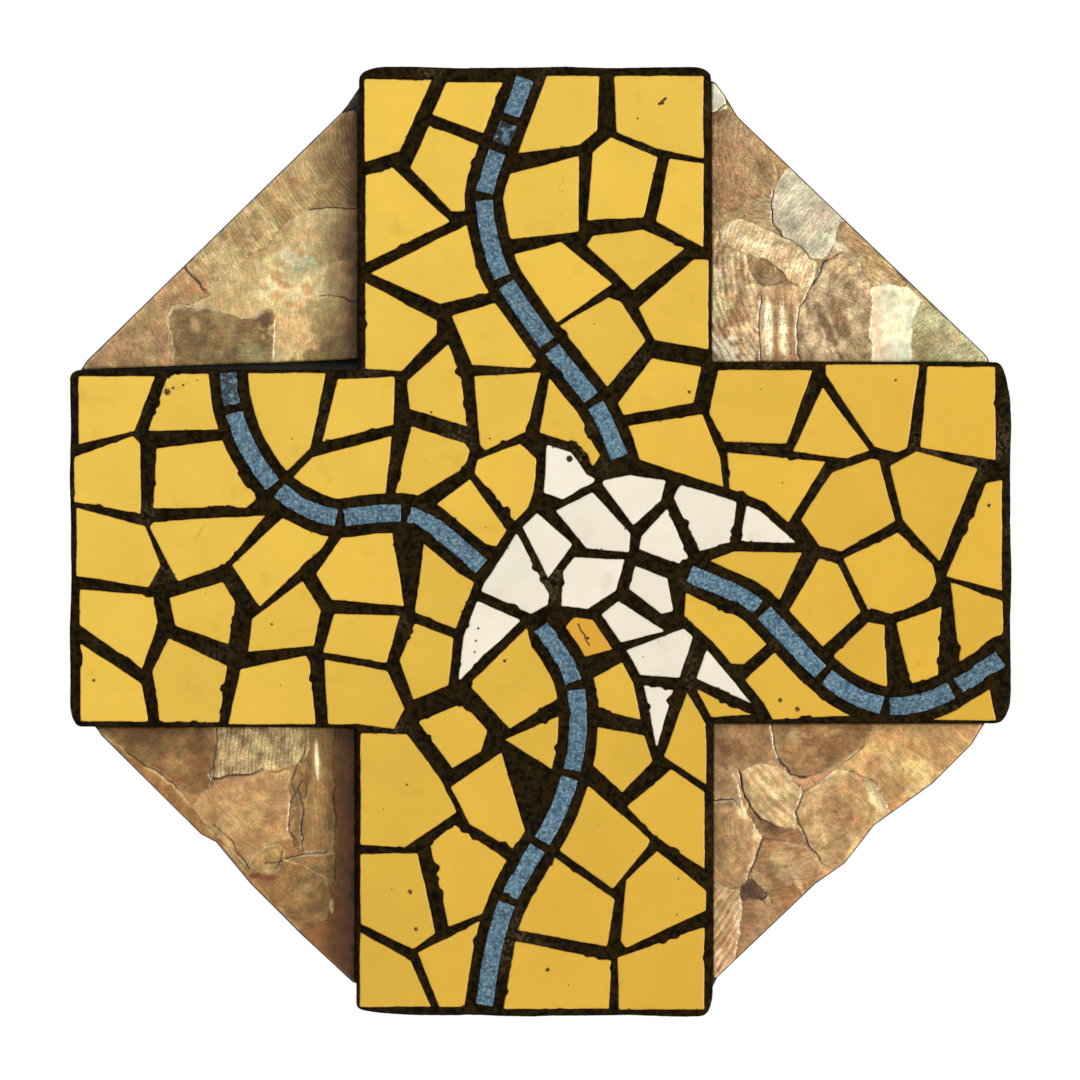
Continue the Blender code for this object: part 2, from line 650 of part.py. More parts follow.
def make_yellow_tiles(holes, parts, cutters):
    """The block that stands on the board, with every yellow piece bedded on its face."""
    block = slab("yellow_tiles", [block_loop()], BOARD_FRONT + GAP, BLOCK_FRONT,
                 YELLOW_GLAZE, parts)
    tiles = slab("tile_pieces", [inset(hole, GAP) for hole in holes], BLOCK_FRONT - BEDDING,
                 TILE_FRONT, YELLOW_GLAZE, cutters)
    block = as_mesh(block, parts)
    combine(block, "UNION", as_mesh(tiles, cutters))


def make_grout(holes, parts, cutters):
    """Grout over the block's face and down its sides, with a hole for each piece."""
    grout = slab("grout", [grout_outline()], BOARD_FRONT + GAP, GROUT_FRONT, GROUT_BLACK, parts)
    block_room = slab("block_room", [block_loop(GAP)], 0.0, BLOCK_FRONT + GAP, GROUT_BLACK, cutters)
    piece_room = slab("piece_room", holes, BLOCK_FRONT - BEDDING, TILE_FRONT + BEDDING,
                      GROUT_BLACK, cutters)
    grout = as_mesh(grout, parts)
    combine(grout, "DIFFERENCE", as_mesh(block_room, cutters))
    combine(grout, "DIFFERENCE", as_mesh(piece_room, cutters))


def make_single_pieces(loops, finish, parts):
    """Pieces that lie in the grout, each an object of its own."""
    for name, hole in loops.items():
        slab(name, [inset(hole, GAP)], BLOCK_FRONT + GAP, TILE_FRONT, finish, parts)


def main():
    for obj in list(bpy.data.objects):
        bpy.data.objects.remove(obj)
    parts = bpy.data.collections.new("mosaic_cross")
    cutters = bpy.data.collections.new("cutters")
    for collection in (parts, cutters):
        bpy.context.scene.collection.children.link(collection)

    paths, bands = stream_loops()
    yellow = yellow_loops(paths, bands)
    white = white_loops()
    blue = strip_loops(paths)

    make_board(parts)
    make_panels(parts)
    make_yellow_tiles(yellow, parts, cutters)
    make_grout(yellow + list(white.values()) + list(blue.values()), parts, cutters)
    make_single_pieces(white, WHITE_GLAZE, parts)
    make_single_pieces(blue, BLUE_GLAZE, parts)


main()
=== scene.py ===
"""Looks of a mosaic cross: broken glazed tile in black grout, with four lacquered shell panels.

The CAD model gives every piece its outline and depth. This script rebuilds the pieces that show
with chipped edges, pits, grout relief and growth ribs, and gives each finish its material. Flat
work is laid out as the plaque is seen from the front: X to the right and Z up, in millimetres,
with depth measured forwards from the wall. A Colour is in sRGB from 0 to 255.
"""

import logging
import math
from collections.abc import Sequence
from dataclasses import dataclass, field
from enum import Enum

import bmesh
import bpy
import numpy as np
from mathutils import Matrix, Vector
from mathutils.geometry import delaunay_2d_cdt
from mathutils.kdtree import KDTree


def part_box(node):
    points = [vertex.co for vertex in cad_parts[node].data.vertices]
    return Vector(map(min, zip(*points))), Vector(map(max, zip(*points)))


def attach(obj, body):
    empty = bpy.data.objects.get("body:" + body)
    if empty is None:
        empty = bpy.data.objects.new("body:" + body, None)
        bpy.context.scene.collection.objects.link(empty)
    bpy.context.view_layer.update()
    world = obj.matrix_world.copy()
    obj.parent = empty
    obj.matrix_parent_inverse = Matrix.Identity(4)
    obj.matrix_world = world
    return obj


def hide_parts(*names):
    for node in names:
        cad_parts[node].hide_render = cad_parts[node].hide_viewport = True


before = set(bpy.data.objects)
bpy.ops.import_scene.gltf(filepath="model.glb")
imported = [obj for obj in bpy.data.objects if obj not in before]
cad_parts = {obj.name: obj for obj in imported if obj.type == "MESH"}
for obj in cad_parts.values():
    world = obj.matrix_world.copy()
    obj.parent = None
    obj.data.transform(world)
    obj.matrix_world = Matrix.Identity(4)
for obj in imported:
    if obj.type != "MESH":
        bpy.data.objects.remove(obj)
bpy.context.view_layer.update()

MM = 0.001
BODY = "root"
LOG = logging.getLogger("mosaic_cross")

Pair = tuple[float, float]
Triple = tuple[float, float, float]
Spot = Pair
Colour = Triple


def front_of(node: str) -> float:
    """The depth of a CAD node's front face, in millimetres."""
    return -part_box(node)[0].y / MM


def back_of(node: str) -> float:
    """The depth of a CAD node's back face, in millimetres."""
    return -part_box(node)[1].y / MM


def linear(colour: Colour) -> tuple[float, float, float, float]:
    """A colour given as sRGB from 0 to 255, as the linear values that shaders take."""
    parts = [c / 255 for c in colour]
    return (*[p / 12.92 if p <= 0.04045 else ((p + 0.055) / 1.055) ** 2.4 for p in parts], 1.0)


def smooth(values: np.ndarray, low: float, high: float) -> np.ndarray:
    """A soft step from 0 at low to 1 at high."""
    share = np.clip((values - low) / (high - low), 0.0, 1.0)
    return share * share * (3 - 2 * share)


def cloud(points: np.ndarray, size: float, seed: int, octaves: int = 3) -> np.ndarray:
    """Smooth noise over the face.

    Args:
        points: Places on the face, one a row.
        size: Width of the largest lumps.
        seed: Picks one pattern.
        octaves: How many finer layers it has.

    Returns:
        A value from about -1 to 1 for each point.
    """
    lattice_side = 128
    fade = 0.55
    swell = 1.5
    total = np.zeros(len(points))
    reach = 0.0
    for octave in range(octaves):
        turn = 0.6 + 1.9 * octave + seed
        scale = 2**octave / size
        u = (points[:, 0] * math.cos(turn) - points[:, 1] * math.sin(turn)) * scale
        v = (points[:, 0] * math.sin(turn) + points[:, 1] * math.cos(turn)) * scale
        lattice = np.random.default_rng(seed * 13 + octave).uniform(-1, 1, (lattice_side, lattice_side))
        i, j = np.floor(u).astype(int), np.floor(v).astype(int)
        s, t = smooth(u - i, 0, 1), smooth(v - j, 0, 1)
        i0, i1, j0, j1 = (k % lattice_side for k in (i, i + 1, j, j + 1))
        low = lattice[i0, j0] * (1 - s) + lattice[i1, j0] * s
        high = lattice[i0, j1] * (1 - s) + lattice[i1, j1] * s
        total += (low * (1 - t) + high * t) * fade**octave
        reach += fade**octave
    return swell * total / reach


def area_of(loop: np.ndarray) -> float:
    """Area inside a loop, positive where it runs anticlockwise."""
    after = np.roll(loop, -1, axis=0)
    return 0.5 * float((loop[:, 0] * after[:, 1] - after[:, 0] * loop[:, 1]).sum())


def anticlockwise(loop: np.ndarray) -> np.ndarray:
    """The loop, turned round if it runs clockwise."""
    return loop if area_of(loop) > 0 else loop[::-1]


def resampled(line: np.ndarray, step: float, closed: bool = True) -> np.ndarray:
    """The line with extra points on it, so that no stretch between two is longer than the step."""
    starts = line if closed else line[:-1]
    ends = np.roll(line, -1, axis=0) if closed else line[1:]
    found = []
    for here, there in zip(starts, ends):
        count = max(1, math.ceil(float(np.linalg.norm(there - here)) / step))
        found += [here + (there - here) * i / count for i in range(count)]
    if not closed:
        found.append(line[-1])
    return np.array(found)


def softened(loop: np.ndarray, passes: int) -> np.ndarray:
    """The loop with its corners rounded, a little more at each pass."""
    for _ in range(passes):
        loop = 0.5 * loop + 0.25 * (np.roll(loop, 1, axis=0) + np.roll(loop, -1, axis=0))
    return loop


def outwards(loop: np.ndarray) -> np.ndarray:
    """For each point of an anticlockwise loop, the direction that leads out of it."""
    along = np.roll(loop, -2, axis=0) - np.roll(loop, 2, axis=0)
    side = np.stack([along[:, 1], -along[:, 0]], axis=1)
    return side / np.maximum(np.linalg.norm(side, axis=1, keepdims=True), 1e-9)


def room_in(loop: np.ndarray, reach: float, tests: int = 6) -> np.ndarray:
    """How far each point of an anticlockwise loop can move inwards before it nears another side."""
    least_share = 0.75
    side = outwards(loop)
    room = np.zeros(len(loop))
    clear = np.ones(len(loop), bool)
    for depth in np.linspace(reach / tests, reach, tests):
        clear &= distance(loop - side * depth, loop) > least_share * depth
        room[clear] = depth
    return np.minimum.reduce([np.roll(room, shift) for shift in (-2, -1, 0, 1, 2)])


def distance(points: np.ndarray, line: np.ndarray, closed: bool = True) -> np.ndarray:
    """How far each point lies from a line."""
    starts = line if closed else line[:-1]
    ends = np.roll(line, -1, axis=0) if closed else line[1:]
    nearest = np.full(len(points), np.inf)
    for start, along in zip(starts, ends - starts):
        share = np.clip((points - start) @ along / max(float(along @ along), 1e-12), 0.0, 1.0)
        gap = points - start - share[:, None] * along
        nearest = np.minimum(nearest, (gap * gap).sum(1))
    return np.sqrt(nearest)


def inside(points: np.ndarray, loop: np.ndarray) -> np.ndarray:
    """Whether each point lies inside the loop."""
    found = np.zeros(len(points), bool)
    for (ax, az), (bx, bz) in zip(loop, np.roll(loop, -1, axis=0)):
        spans = (az > points[:, 1]) != (bz > points[:, 1])
        rise = bz - az if abs(bz - az) > 1e-12 else 1e-12
        found ^= spans & (points[:, 0] < ax + (points[:, 1] - az) / rise * (bx - ax))
    return found


def lattice_in(loop: np.ndarray, step: float, seed: int, jitter: float = 0.22) -> np.ndarray:
    """Points spread evenly over a loop's box in offset rows, each moved a little at random."""
    row_share = 0.87
    low, high = loop.min(0), loop.max(0)
    rows = np.arange(low[1], high[1] + step, step * row_share)
    found = [
        (x + (step / 2 if number % 2 else 0.0), z)
        for number, z in enumerate(rows)
        for x in np.arange(low[0] - step, high[0] + step, step)
    ]
    moved = np.random.default_rng(seed).uniform(-jitter, jitter, (len(found), 2)) * step
    return np.array(found) + moved


def rounding(gap: np.ndarray, radius: float | np.ndarray) -> np.ndarray:
    """How far a rounded arris has dropped at each distance from the edge."""
    short = np.clip(radius - gap, 0.0, radius)
    return radius - np.sqrt(np.maximum(radius**2 - short**2, 0.0))


def triangulated(outline: np.ndarray, spots: np.ndarray,
                 lines: Sequence[np.ndarray] = ()) -> tuple[np.ndarray, np.ndarray]:
    """Fills an outline with triangles.

    Args:
        outline: The loop to fill.
        spots: Points inside it that become corners.
        lines: Open lines that the triangles' edges follow.

    Returns:
        The corners as an array, and the triangles as an array of their numbers.
    """
    corners = [Vector(p) for p in outline.tolist()] + [Vector(p) for p in spots.tolist()]
    edges = []
    for line in lines:
        first = len(corners)
        corners += [Vector(p) for p in line.tolist()]
        edges += [(first + i, first + i + 1) for i in range(len(line) - 1)]
    found, _, faces, *_ = delaunay_2d_cdt(corners, edges, [list(range(len(outline)))], 1, 1e-3)
    places, faces = np.array([tuple(v) for v in found]), np.array([tuple(f) for f in faces])
    used, numbers = np.unique(faces, return_inverse=True)
    return places[used], numbers.reshape(-1, 3)


def rings_of(edges: set[tuple[int, int]]) -> list[list[int]]:
    """The rings round a sheet, from the directed edges of its faces: one for each separate rim."""
    onward: dict[int, list[int]] = {}
    for start, end in sorted(edges):
        if (end, start) not in edges:
            onward.setdefault(start, []).append(end)
    rings = []
    while onward:
        start = here = next(iter(onward))
        ring = []
        while True:
            ring.append(here)
            ends = onward[here]
            after = ends.pop()
            if not ends:
                del onward[here]
            here = after
            if here == start:
                break
        rings.append(ring)
    return sorted(rings, key=len, reverse=True)


def rims_of(faces: np.ndarray) -> list[list[int]]:
    """The corners round each rim of a sheet of triangles, anticlockwise, longest rim first."""
    return rings_of({(int(a), int(b)) for f in faces for a, b in zip(f, np.roll(f, -1))})


def loops_at(node: str, depth: float) -> list[np.ndarray]:
    """The outlines of a CAD node's flat faces at one depth, anticlockwise as seen from the front.

    Args:
        node: The node's name.
        depth: Distance of the faces from the wall.

    Returns:
        The loops, largest first.
    """
    flat_within = 0.02
    made = bmesh.new()
    made.from_mesh(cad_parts[node].data)
    bmesh.ops.remove_doubles(made, verts=made.verts, dist=1e-6)
    made.verts.index_update()
    places = [(v.co.x / MM, v.co.z / MM) for v in made.verts]
    edges = set()
    for face in made.faces:
        if all(abs(-v.co.y / MM - depth) < flat_within for v in face.verts):
            edges |= {(e.vert.index, e.link_loop_next.vert.index) for e in face.loops}
    made.free()
    loops = [anticlockwise(np.array([places[i] for i in ring])) for ring in rings_of(edges)]
    return sorted(loops, key=area_of, reverse=True)


class Sheet:
    """A piece while it is built: its corners, its faces and the named values of each corner."""

    def __init__(self) -> None:
        """Starts with nothing in it."""
        self.corners: list[np.ndarray] = []
        self.faces: list[tuple[int, ...]] = []
        self.values: list[dict[str, np.ndarray]] = []
        self.count = 0

    def add_corners(self, flat: np.ndarray, depth: np.ndarray, values: dict[str, np.ndarray]) -> int:
        """Adds corners at places on the face and depths from the wall, and returns the first one's number."""
        first = self.count
        depth = np.broadcast_to(depth, len(flat))
        self.corners.append(np.stack([flat[:, 0], -depth, flat[:, 1]], axis=1) * MM)
        self.values.append(values)
        self.count += len(flat)
        return first

    def add_slab(self, flat: np.ndarray, faces: np.ndarray, depth: np.ndarray, back: float,
                 values: dict[str, np.ndarray]) -> None:
        """Adds a closed body with a shaped front, straight sides and a flat back.

        Args:
            flat: Places of the front's corners.
            faces: Triangles between them.
            depth: Depth of each corner.
            back: Depth of the back.
            values: Named values of each corner.
        """
        first = self.add_corners(flat, depth, values)
        self.faces += [tuple(int(i) + first for i in f) for f in faces]
        for rim in rims_of(faces):
            behind = self.add_corners(flat[rim], np.float64(back), {k: v[rim] for k, v in values.items()})
            for i, here in enumerate(rim):
                after = (i + 1) % len(rim)
                self.faces.append((here + first, behind + i, behind + after, rim[after] + first))
            self.faces.append(tuple(behind + i for i in reversed(range(len(rim)))))

    def made(self, name: str, material: bpy.types.Material, crease: float = 55.0) -> bpy.types.Object:
        """Makes the mesh object.

        Args:
            name: Its name.
            material: Its only material.
            crease: Faces that meet at more than this many degrees keep a sharp edge.

        Returns:
            The object, at the origin.
        """
        mesh = bpy.data.meshes.new(name)
        mesh.from_pydata(np.concatenate(self.corners).tolist(), [], self.faces)
        for key in self.values[0]:
            column = np.concatenate([v[key] for v in self.values])
            if column.ndim == 2:
                mesh.attributes.new(key, "FLOAT_COLOR", "POINT").data.foreach_set("color", column.ravel())
            else:
                mesh.attributes.new(key, "FLOAT", "POINT").data.foreach_set("value", column)
        mesh.materials.append(material)
        mesh.shade_smooth()
        mesh.set_sharp_from_angle(angle=math.radians(crease))
        mesh.validate()
        obj = bpy.data.objects.new(name, mesh)
        bpy.context.scene.collection.objects.link(obj)
        return obj


class Bench:
    """A material on the bench: its Principled shader, with short calls for the nodes that feed it."""

    def __init__(self, name: str, **plain: float) -> None:
        """Starts a material.

        Args:
            name: The finish's name.
            plain: Values set on the shader's own sockets, with _ for a space.
        """
        self.material = bpy.data.materials.new(name)
        self.material.use_nodes = True
        self.tree = self.material.node_tree
        self.shader = self.tree.nodes["Principled BSDF"]
        for key, value in plain.items():
            self.shader.inputs[key.replace("_", " ")].default_value = value
        self.place = self.add("ShaderNodeTexCoord").outputs["Object"]

    def add(self, kind: str, **settings: object) -> bpy.types.Node:
        """Adds a node of a kind, with its properties set."""
        node = self.tree.nodes.new(kind)
        for key, value in settings.items():
            setattr(node, key, value)
        return node

    def feed(self, socket: bpy.types.NodeSocket, value: object) -> None:
        """Links a socket to another, or sets it to a number or a colour."""
        if isinstance(value, bpy.types.NodeSocket):
            self.tree.links.new(value, socket)
        elif isinstance(value, tuple):
            socket.default_value = linear(value)
        else:
            socket.default_value = value

    def value(self, name: str) -> bpy.types.NodeSocket:
        """A value that the mesh's corners carry."""
        return self.add("ShaderNodeAttribute", attribute_name=name).outputs["Fac"]

    def tint(self, name: str) -> bpy.types.NodeSocket:
        """A colour that the mesh's corners carry."""
        return self.add("ShaderNodeAttribute", attribute_name=name).outputs["Color"]

    def noise(self, size: float, detail: float = 3.0, shift: float = 0.0,
              stretch: Triple = (1.0, 1.0, 1.0)) -> bpy.types.NodeSocket:
        """Soft noise from 0 to 1 with lumps of a size, and stretched where its axes are scaled."""
        mapping = self.add("ShaderNodeMapping")
        self.feed(mapping.inputs["Vector"], self.place)
        mapping.inputs["Location"].default_value = (shift, shift * 0.7, shift * 1.3)
        mapping.inputs["Scale"].default_value = stretch
        node = self.add("ShaderNodeTexNoise")
        self.feed(node.inputs["Vector"], mapping.outputs[0])
        node.inputs["Scale"].default_value = 1 / (size * MM)
        node.inputs["Detail"].default_value = detail
        return node.outputs["Fac"]

    def strands(self, along: bpy.types.NodeSocket, across: bpy.types.NodeSocket) -> bpy.types.NodeSocket:
        """Soft noise from 0 to 1 on two values that the corners carry, instead of on the place."""
        spread = self.add("ShaderNodeCombineXYZ")
        self.feed(spread.inputs[0], along)
        self.feed(spread.inputs[1], across)
        node = self.add("ShaderNodeTexNoise")
        self.feed(node.inputs["Vector"], spread.outputs[0])
        node.inputs["Scale"].default_value = 1.0
        node.inputs["Detail"].default_value = 3.0
        return node.outputs["Fac"]

    def cells(self, size: float) -> bpy.types.Node:
        """A pattern of round cells, each with a colour of its own."""
        node = self.add("ShaderNodeTexVoronoi")
        self.feed(node.inputs["Vector"], self.place)
        node.inputs["Scale"].default_value = 1 / (size * MM)
        return node

    def maths(self, operation: str, first: object, second: object = 0.0) -> bpy.types.NodeSocket:
        """One sum on two values."""
        node = self.add("ShaderNodeMath", operation=operation)
        self.feed(node.inputs[0], first)
        self.feed(node.inputs[1], second)
        return node.outputs[0]

    def times(self, *values: object) -> bpy.types.NodeSocket:
        """Two or more values multiplied."""
        product, *rest = values
        for value in rest:
            product = self.maths("MULTIPLY", product, value)
        return product

    def step(self, value: bpy.types.NodeSocket, low: float, high: float, start: float = 0.0,
             end: float = 1.0) -> bpy.types.NodeSocket:
        """A soft step from start to end as the value goes from low to high."""
        node = self.add("ShaderNodeMapRange", interpolation_type="SMOOTHSTEP")
        for socket, number in zip(node.inputs, (value, low, high, start, end)):
            self.feed(socket, number)
        return node.outputs[0]

    def mix(self, share: object, first: object, second: object, blend: str = "MIX") -> bpy.types.NodeSocket:
        """Two colours mixed."""
        node = self.add("ShaderNodeMix", data_type="RGBA", blend_type=blend)
        for number, value in ((0, share), (6, first), (7, second)):
            self.feed(node.inputs[number], value)
        return node.outputs[2]

    def patches(self, size: float, detail: float, span: Pair, out: Pair = (0.0, 1.0),
                shift: float = 0.0) -> bpy.types.NodeSocket:
        """Noise in soft patches.

        Args:
            size: Width of its lumps.
            detail: How many finer layers it has.
            span: Where the noise begins and ends its step.
            out: The values before and after that step.
            shift: Picks one pattern.

        Returns:
            The stepped noise.
        """
        return self.step(self.noise(size, detail, shift), *span, *out)

    def shaded(self, colour: bpy.types.NodeSocket, factor: bpy.types.NodeSocket) -> bpy.types.NodeSocket:
        """A colour made darker or lighter by a factor."""
        grey = self.add("ShaderNodeCombineColor")
        for socket in grey.inputs:
            self.feed(socket, factor)
        return self.mix(1.0, colour, grey.outputs[0], "MULTIPLY")

    def bump(self, height: bpy.types.NodeSocket, depth: float, strength: float = 1.0) -> None:
        """Adds relief of a depth in millimetres to the shader, over what it has."""
        node = self.add("ShaderNodeBump")
        node.inputs["Strength"].default_value = strength
        node.inputs["Distance"].default_value = depth * MM
        self.feed(node.inputs["Height"], height)
        normal = self.shader.inputs["Normal"]
        if normal.is_linked:
            self.feed(node.inputs["Normal"], normal.links[0].from_socket)
        self.feed(normal, node.outputs[0])

    def coloured(self, colour: bpy.types.NodeSocket, roughness: bpy.types.NodeSocket) -> bpy.types.Material:
        """Feeds the shader its colour and roughness, and returns the material."""
        self.feed(self.shader.inputs["Base Color"], colour)
        self.feed(self.shader.inputs["Roughness"], roughness)
        return self.material


@dataclass(frozen=True)
class TileGlaze:
    """Satin glaze over a broken tile: a nearly even colour, paler towards the upper left and deeper towards
    the lower right, with pits, specks and grout along its edges.
    """

    name: str
    pale: Colour
    deep: Colour
    body: Colour
    stain: Colour
    stain_share: float = 0.35
    dirt: Colour = (52, 38, 20)
    orange: Colour = (214, 150, 40)
    orange_share: float = 0.6
    pale_to_deep: Pair = (-0.19, 0.21)
    body_share: float = 0.75
    pore_size: float = 7.5
    pore_radii: Pair = (0.046, 0.02)
    pore_share: float = 0.45

    def material(self) -> bpy.types.Material:
        """The glaze's material."""
        bench = Bench(self.name, Specular_IOR_Level=0.42)
        spread = bench.add("ShaderNodeSeparateXYZ")
        bench.feed(spread.inputs[0], bench.place)
        # The colour runs from pale at the upper left of the plaque to deep at the lower right.
        slope = bench.maths("SUBTRACT", spread.outputs["X"], spread.outputs["Z"])
        colour = bench.mix(bench.step(slope, *self.pale_to_deep), self.pale, self.deep)
        tone = bench.step(bench.value("tone"), -1.0, 1.0, 0.95, 1.02)
        drift = bench.patches(17, 2, (0.3, 0.7), (0.965, 1.015))
        grain = bench.patches(0.9, 2, (0.25, 0.75), (0.985, 1.015))
        shade = bench.times(tone, drift, grain)
        colour = bench.shaded(colour, shade)
        colour = bench.mix(bench.times(bench.value("wear"), self.orange_share), colour, self.orange)
        haze = bench.patches(9, 4, (0.58, 0.80), (0.0, self.stain_share), shift=3.0)
        colour = bench.mix(haze, colour, self.stain)
        edge = bench.value("edge")
        broken = bench.patches(2.2, 3, (0.30, 0.60))
        thin = bench.times(bench.step(edge, 0.42, 0.02), broken, self.body_share)
        colour = bench.mix(thin, colour, self.body)
        smear = bench.maths("ADD", edge, bench.patches(2.4, 4, (0.26, 0.44), (-0.55, 1.2), shift=1.0))
        colour = bench.mix(bench.step(smear, 0.10, -0.1, 0.0, 0.85), colour, self.dirt)
        pores = bench.cells(self.pore_size)
        rare = bench.add("ShaderNodeSeparateColor")
        bench.feed(rare.inputs[0], pores.outputs["Color"])
        pore = bench.times(bench.step(pores.outputs["Distance"], *self.pore_radii),
                           bench.step(rare.outputs[0], 0.76, 0.80), self.pore_share)
        spot = bench.times(bench.value("pit"), bench.patches(0.7, 3, (0.3, 0.7), (0.6, 1.4), shift=6.0))
        colour = bench.mix(bench.step(spot, 0.10, 0.45, 0.0, 0.8), colour, self.body)
        hole = bench.maths("MAXIMUM", bench.step(spot, 0.42, 0.80), pore)
        colour = bench.mix(hole, colour, self.dirt)
        rough = bench.patches(3.0, 3, (0.3, 0.7), (0.30, 0.40), shift=2.0)
        bench.bump(bench.noise(6.0, 2, 4.0), 0.05, 0.5)
        bench.bump(bench.noise(0.7, 2, 5.0), 0.008, 0.5)
        return bench.coloured(colour, bench.maths("MAXIMUM", rough, bench.times(hole, 0.8)))


@dataclass(frozen=True)
class SpeckledGlaze:
    """Blue glaze broken up by fine paler and darker specks, and worn where a strip is worn."""

    name: str = "speckled_blue_glaze"
    base: Colour = (78, 114, 140)
    pale: Colour = (128, 162, 176)
    dark: Colour = (46, 76, 102)
    fleck: Colour = (156, 184, 192)
    dirt: Colour = (30, 32, 32)

    def material(self) -> bpy.types.Material:
        """The glaze's material."""
        bench = Bench(self.name, Specular_IOR_Level=0.4)
        colour = bench.mix(bench.patches(1.0, 2, (0.46, 0.66)), self.base, self.pale)
        colour = bench.mix(bench.patches(1.1, 3, (0.46, 0.62), (0.0, 0.85), shift=1.0), colour, self.dark)
        colour = bench.mix(bench.patches(0.6, 1, (0.58, 0.70), (0.0, 0.6), shift=2.0), colour, self.fleck)
        tone = bench.step(bench.value("tone"), -1.0, 1.0, 0.93, 1.06)
        colour = bench.shaded(colour, tone)
        wear = bench.times(bench.value("wear"), bench.patches(2.4, 4, (0.38, 0.52), shift=3.0))
        smear = bench.maths("ADD", bench.value("edge"),
                            bench.patches(1.4, 4, (0.30, 0.60), (-0.7, 1.6), shift=4.0))
        covered = bench.maths("MAXIMUM", wear, bench.step(smear, 0.16, -0.1))
        colour = bench.mix(bench.maths("MAXIMUM", covered, bench.value("pit")), colour, self.dirt)
        bench.bump(bench.noise(0.6, 2, 6.0), 0.05, 0.6)
        return bench.coloured(colour, bench.patches(1.2, 2, (0.3, 0.7), (0.34, 0.5), shift=5.0))


@dataclass(frozen=True)
class SandedGrout:
    """Matt near-black grout with sand in it and a film of dust in places."""

    name: str = "sanded_black_grout"
    base: Colour = (40, 29, 8)
    dark: Colour = (13, 9, 2)
    dust: Colour = (84, 74, 54)
    sand: Colour = (84, 70, 40)
    grain_share: float = 0.5

    def material(self) -> bpy.types.Material:
        """The grout's material."""
        bench = Bench(self.name, Specular_IOR_Level=0.05)
        colour = bench.mix(bench.patches(1.6, 5, (0.38, 0.62)), self.dark, self.base)
        dusty = bench.patches(20, 3, (0.56, 0.72), shift=1.0)
        patchy = bench.patches(1.1, 4, (0.45, 0.62), (0.0, 0.6), shift=2.0)
        colour = bench.mix(bench.times(dusty, patchy), colour, self.dust)
        grains = bench.patches(0.5, 2, (0.66, 0.74), (0.0, 0.55), shift=3.0)
        colour = bench.mix(grains, colour, self.sand)
        colour = bench.mix(bench.times(bench.value("grain"), self.grain_share), colour, self.sand)
        bench.bump(bench.noise(0.8, 4, 4.0), 0.25, 0.7)
        return bench.coloured(colour, bench.patches(2.0, 3, (0.3, 0.7), (0.68, 0.88), shift=5.0))


@dataclass(frozen=True)
class PaintedBoard:
    """Black brushed paint on board, rubbed brown where its corners carry wear."""

    name: str = "black_painted_board"
    paint: Colour = (24, 21, 18)
    light: Colour = (44, 39, 33)
    bare: Colour = (112, 82, 52)
    brushed: Triple = (0.07, 1.0, 1.0)

    def material(self) -> bpy.types.Material:
        """The paint's material."""
        bench = Bench(self.name, Specular_IOR_Level=0.4)
        strokes = bench.step(bench.noise(3.2, 5, 0.0, self.brushed), 0.40, 0.66)
        colour = bench.mix(strokes, self.paint, self.light)
        rubbed = bench.times(bench.value("arris"), bench.patches(2.6, 5, (0.52, 0.62), shift=1.0))
        colour = bench.mix(rubbed, colour, self.bare)
        bench.bump(strokes, 0.06, 0.5)
        return bench.coloured(colour, bench.patches(6, 4, (0.3, 0.7), (0.42, 0.66), shift=2.0))


@dataclass(frozen=True)
class LacqueredShell:
    """Mother-of-pearl under clear lacquer: its corners carry the tint and its ribs the light lines, and its
    colour holds painted glints and a painted sheen.
    """

    name: str = "lacquered_shell"
    green_cast: Colour = (248, 264, 252)
    pink_cast: Colour = (270, 248, 244)
    relief: float = 0.05
    relief_strength: float = 0.6

    def material(self) -> bpy.types.Material:
        """The shell's material."""
        bench = Bench(self.name, Metallic=0.12, Coat_Weight=0.55, Coat_Roughness=0.16, Coat_IOR=1.5)
        colour = bench.tint("tint")
        along, across = bench.value("along"), bench.value("across")
        ribs = bench.strands(bench.times(along, 3.6), bench.times(across, 0.30))
        fibres = bench.strands(bench.times(along, 0.9), bench.times(across, 2.2))
        flecks = bench.patches(0.6, 4, (0.32, 0.68), (-0.8, 0.8))
        lines = bench.step(ribs, 0.36, 0.64, -0.75, 0.75)
        fine = bench.maths("ADD", lines, bench.step(fibres, 0.36, 0.64, -0.4, 0.4))
        # Painted glints: sparse bright specks in the shell's colour, standing in for highlights, scaled with
        # the grain.
        painted_glints = bench.patches(0.7, 2, (0.60, 0.72), (0.0, 1.5), shift=7.0)
        grain_and_glints = bench.maths("ADD", bench.maths("ADD", fine, flecks), painted_glints)
        grain = bench.times(grain_and_glints, bench.value("grain"))
        # Painted sheen: broad soft patches of brighter and darker colour, laid over the shell's own mottle.
        painted_sheen = bench.patches(8.0, 3, (0.36, 0.64), (0.86, 1.14), shift=8.0)
        mottle_and_sheen = bench.times(bench.patches(3.2, 5, (0.3, 0.7), (0.82, 1.18), shift=1.0), painted_sheen)
        line = bench.step(bench.value("rib"), -1.0, 1.0, 0.80, 1.24)
        shade = bench.times(bench.maths("ADD", grain, 1.0), mottle_and_sheen, line)
        colour = bench.shaded(colour, shade)
        green = bench.patches(5.5, 2, (0.52, 0.68), (0.0, 0.8), shift=2.0)
        colour = bench.mix(green, colour, self.green_cast, "MULTIPLY")
        pink = bench.patches(4.5, 2, (0.55, 0.70), (0.0, 0.8), shift=4.0)
        colour = bench.mix(pink, colour, self.pink_cast, "MULTIPLY")
        for height in (bench.value("rib"), ribs, bench.noise(0.9, 4, 3.0)):
            bench.bump(height, self.relief, self.relief_strength)
        return bench.coloured(colour, bench.patches(2.0, 3, (0.3, 0.7), (0.34, 0.52), shift=5.0))


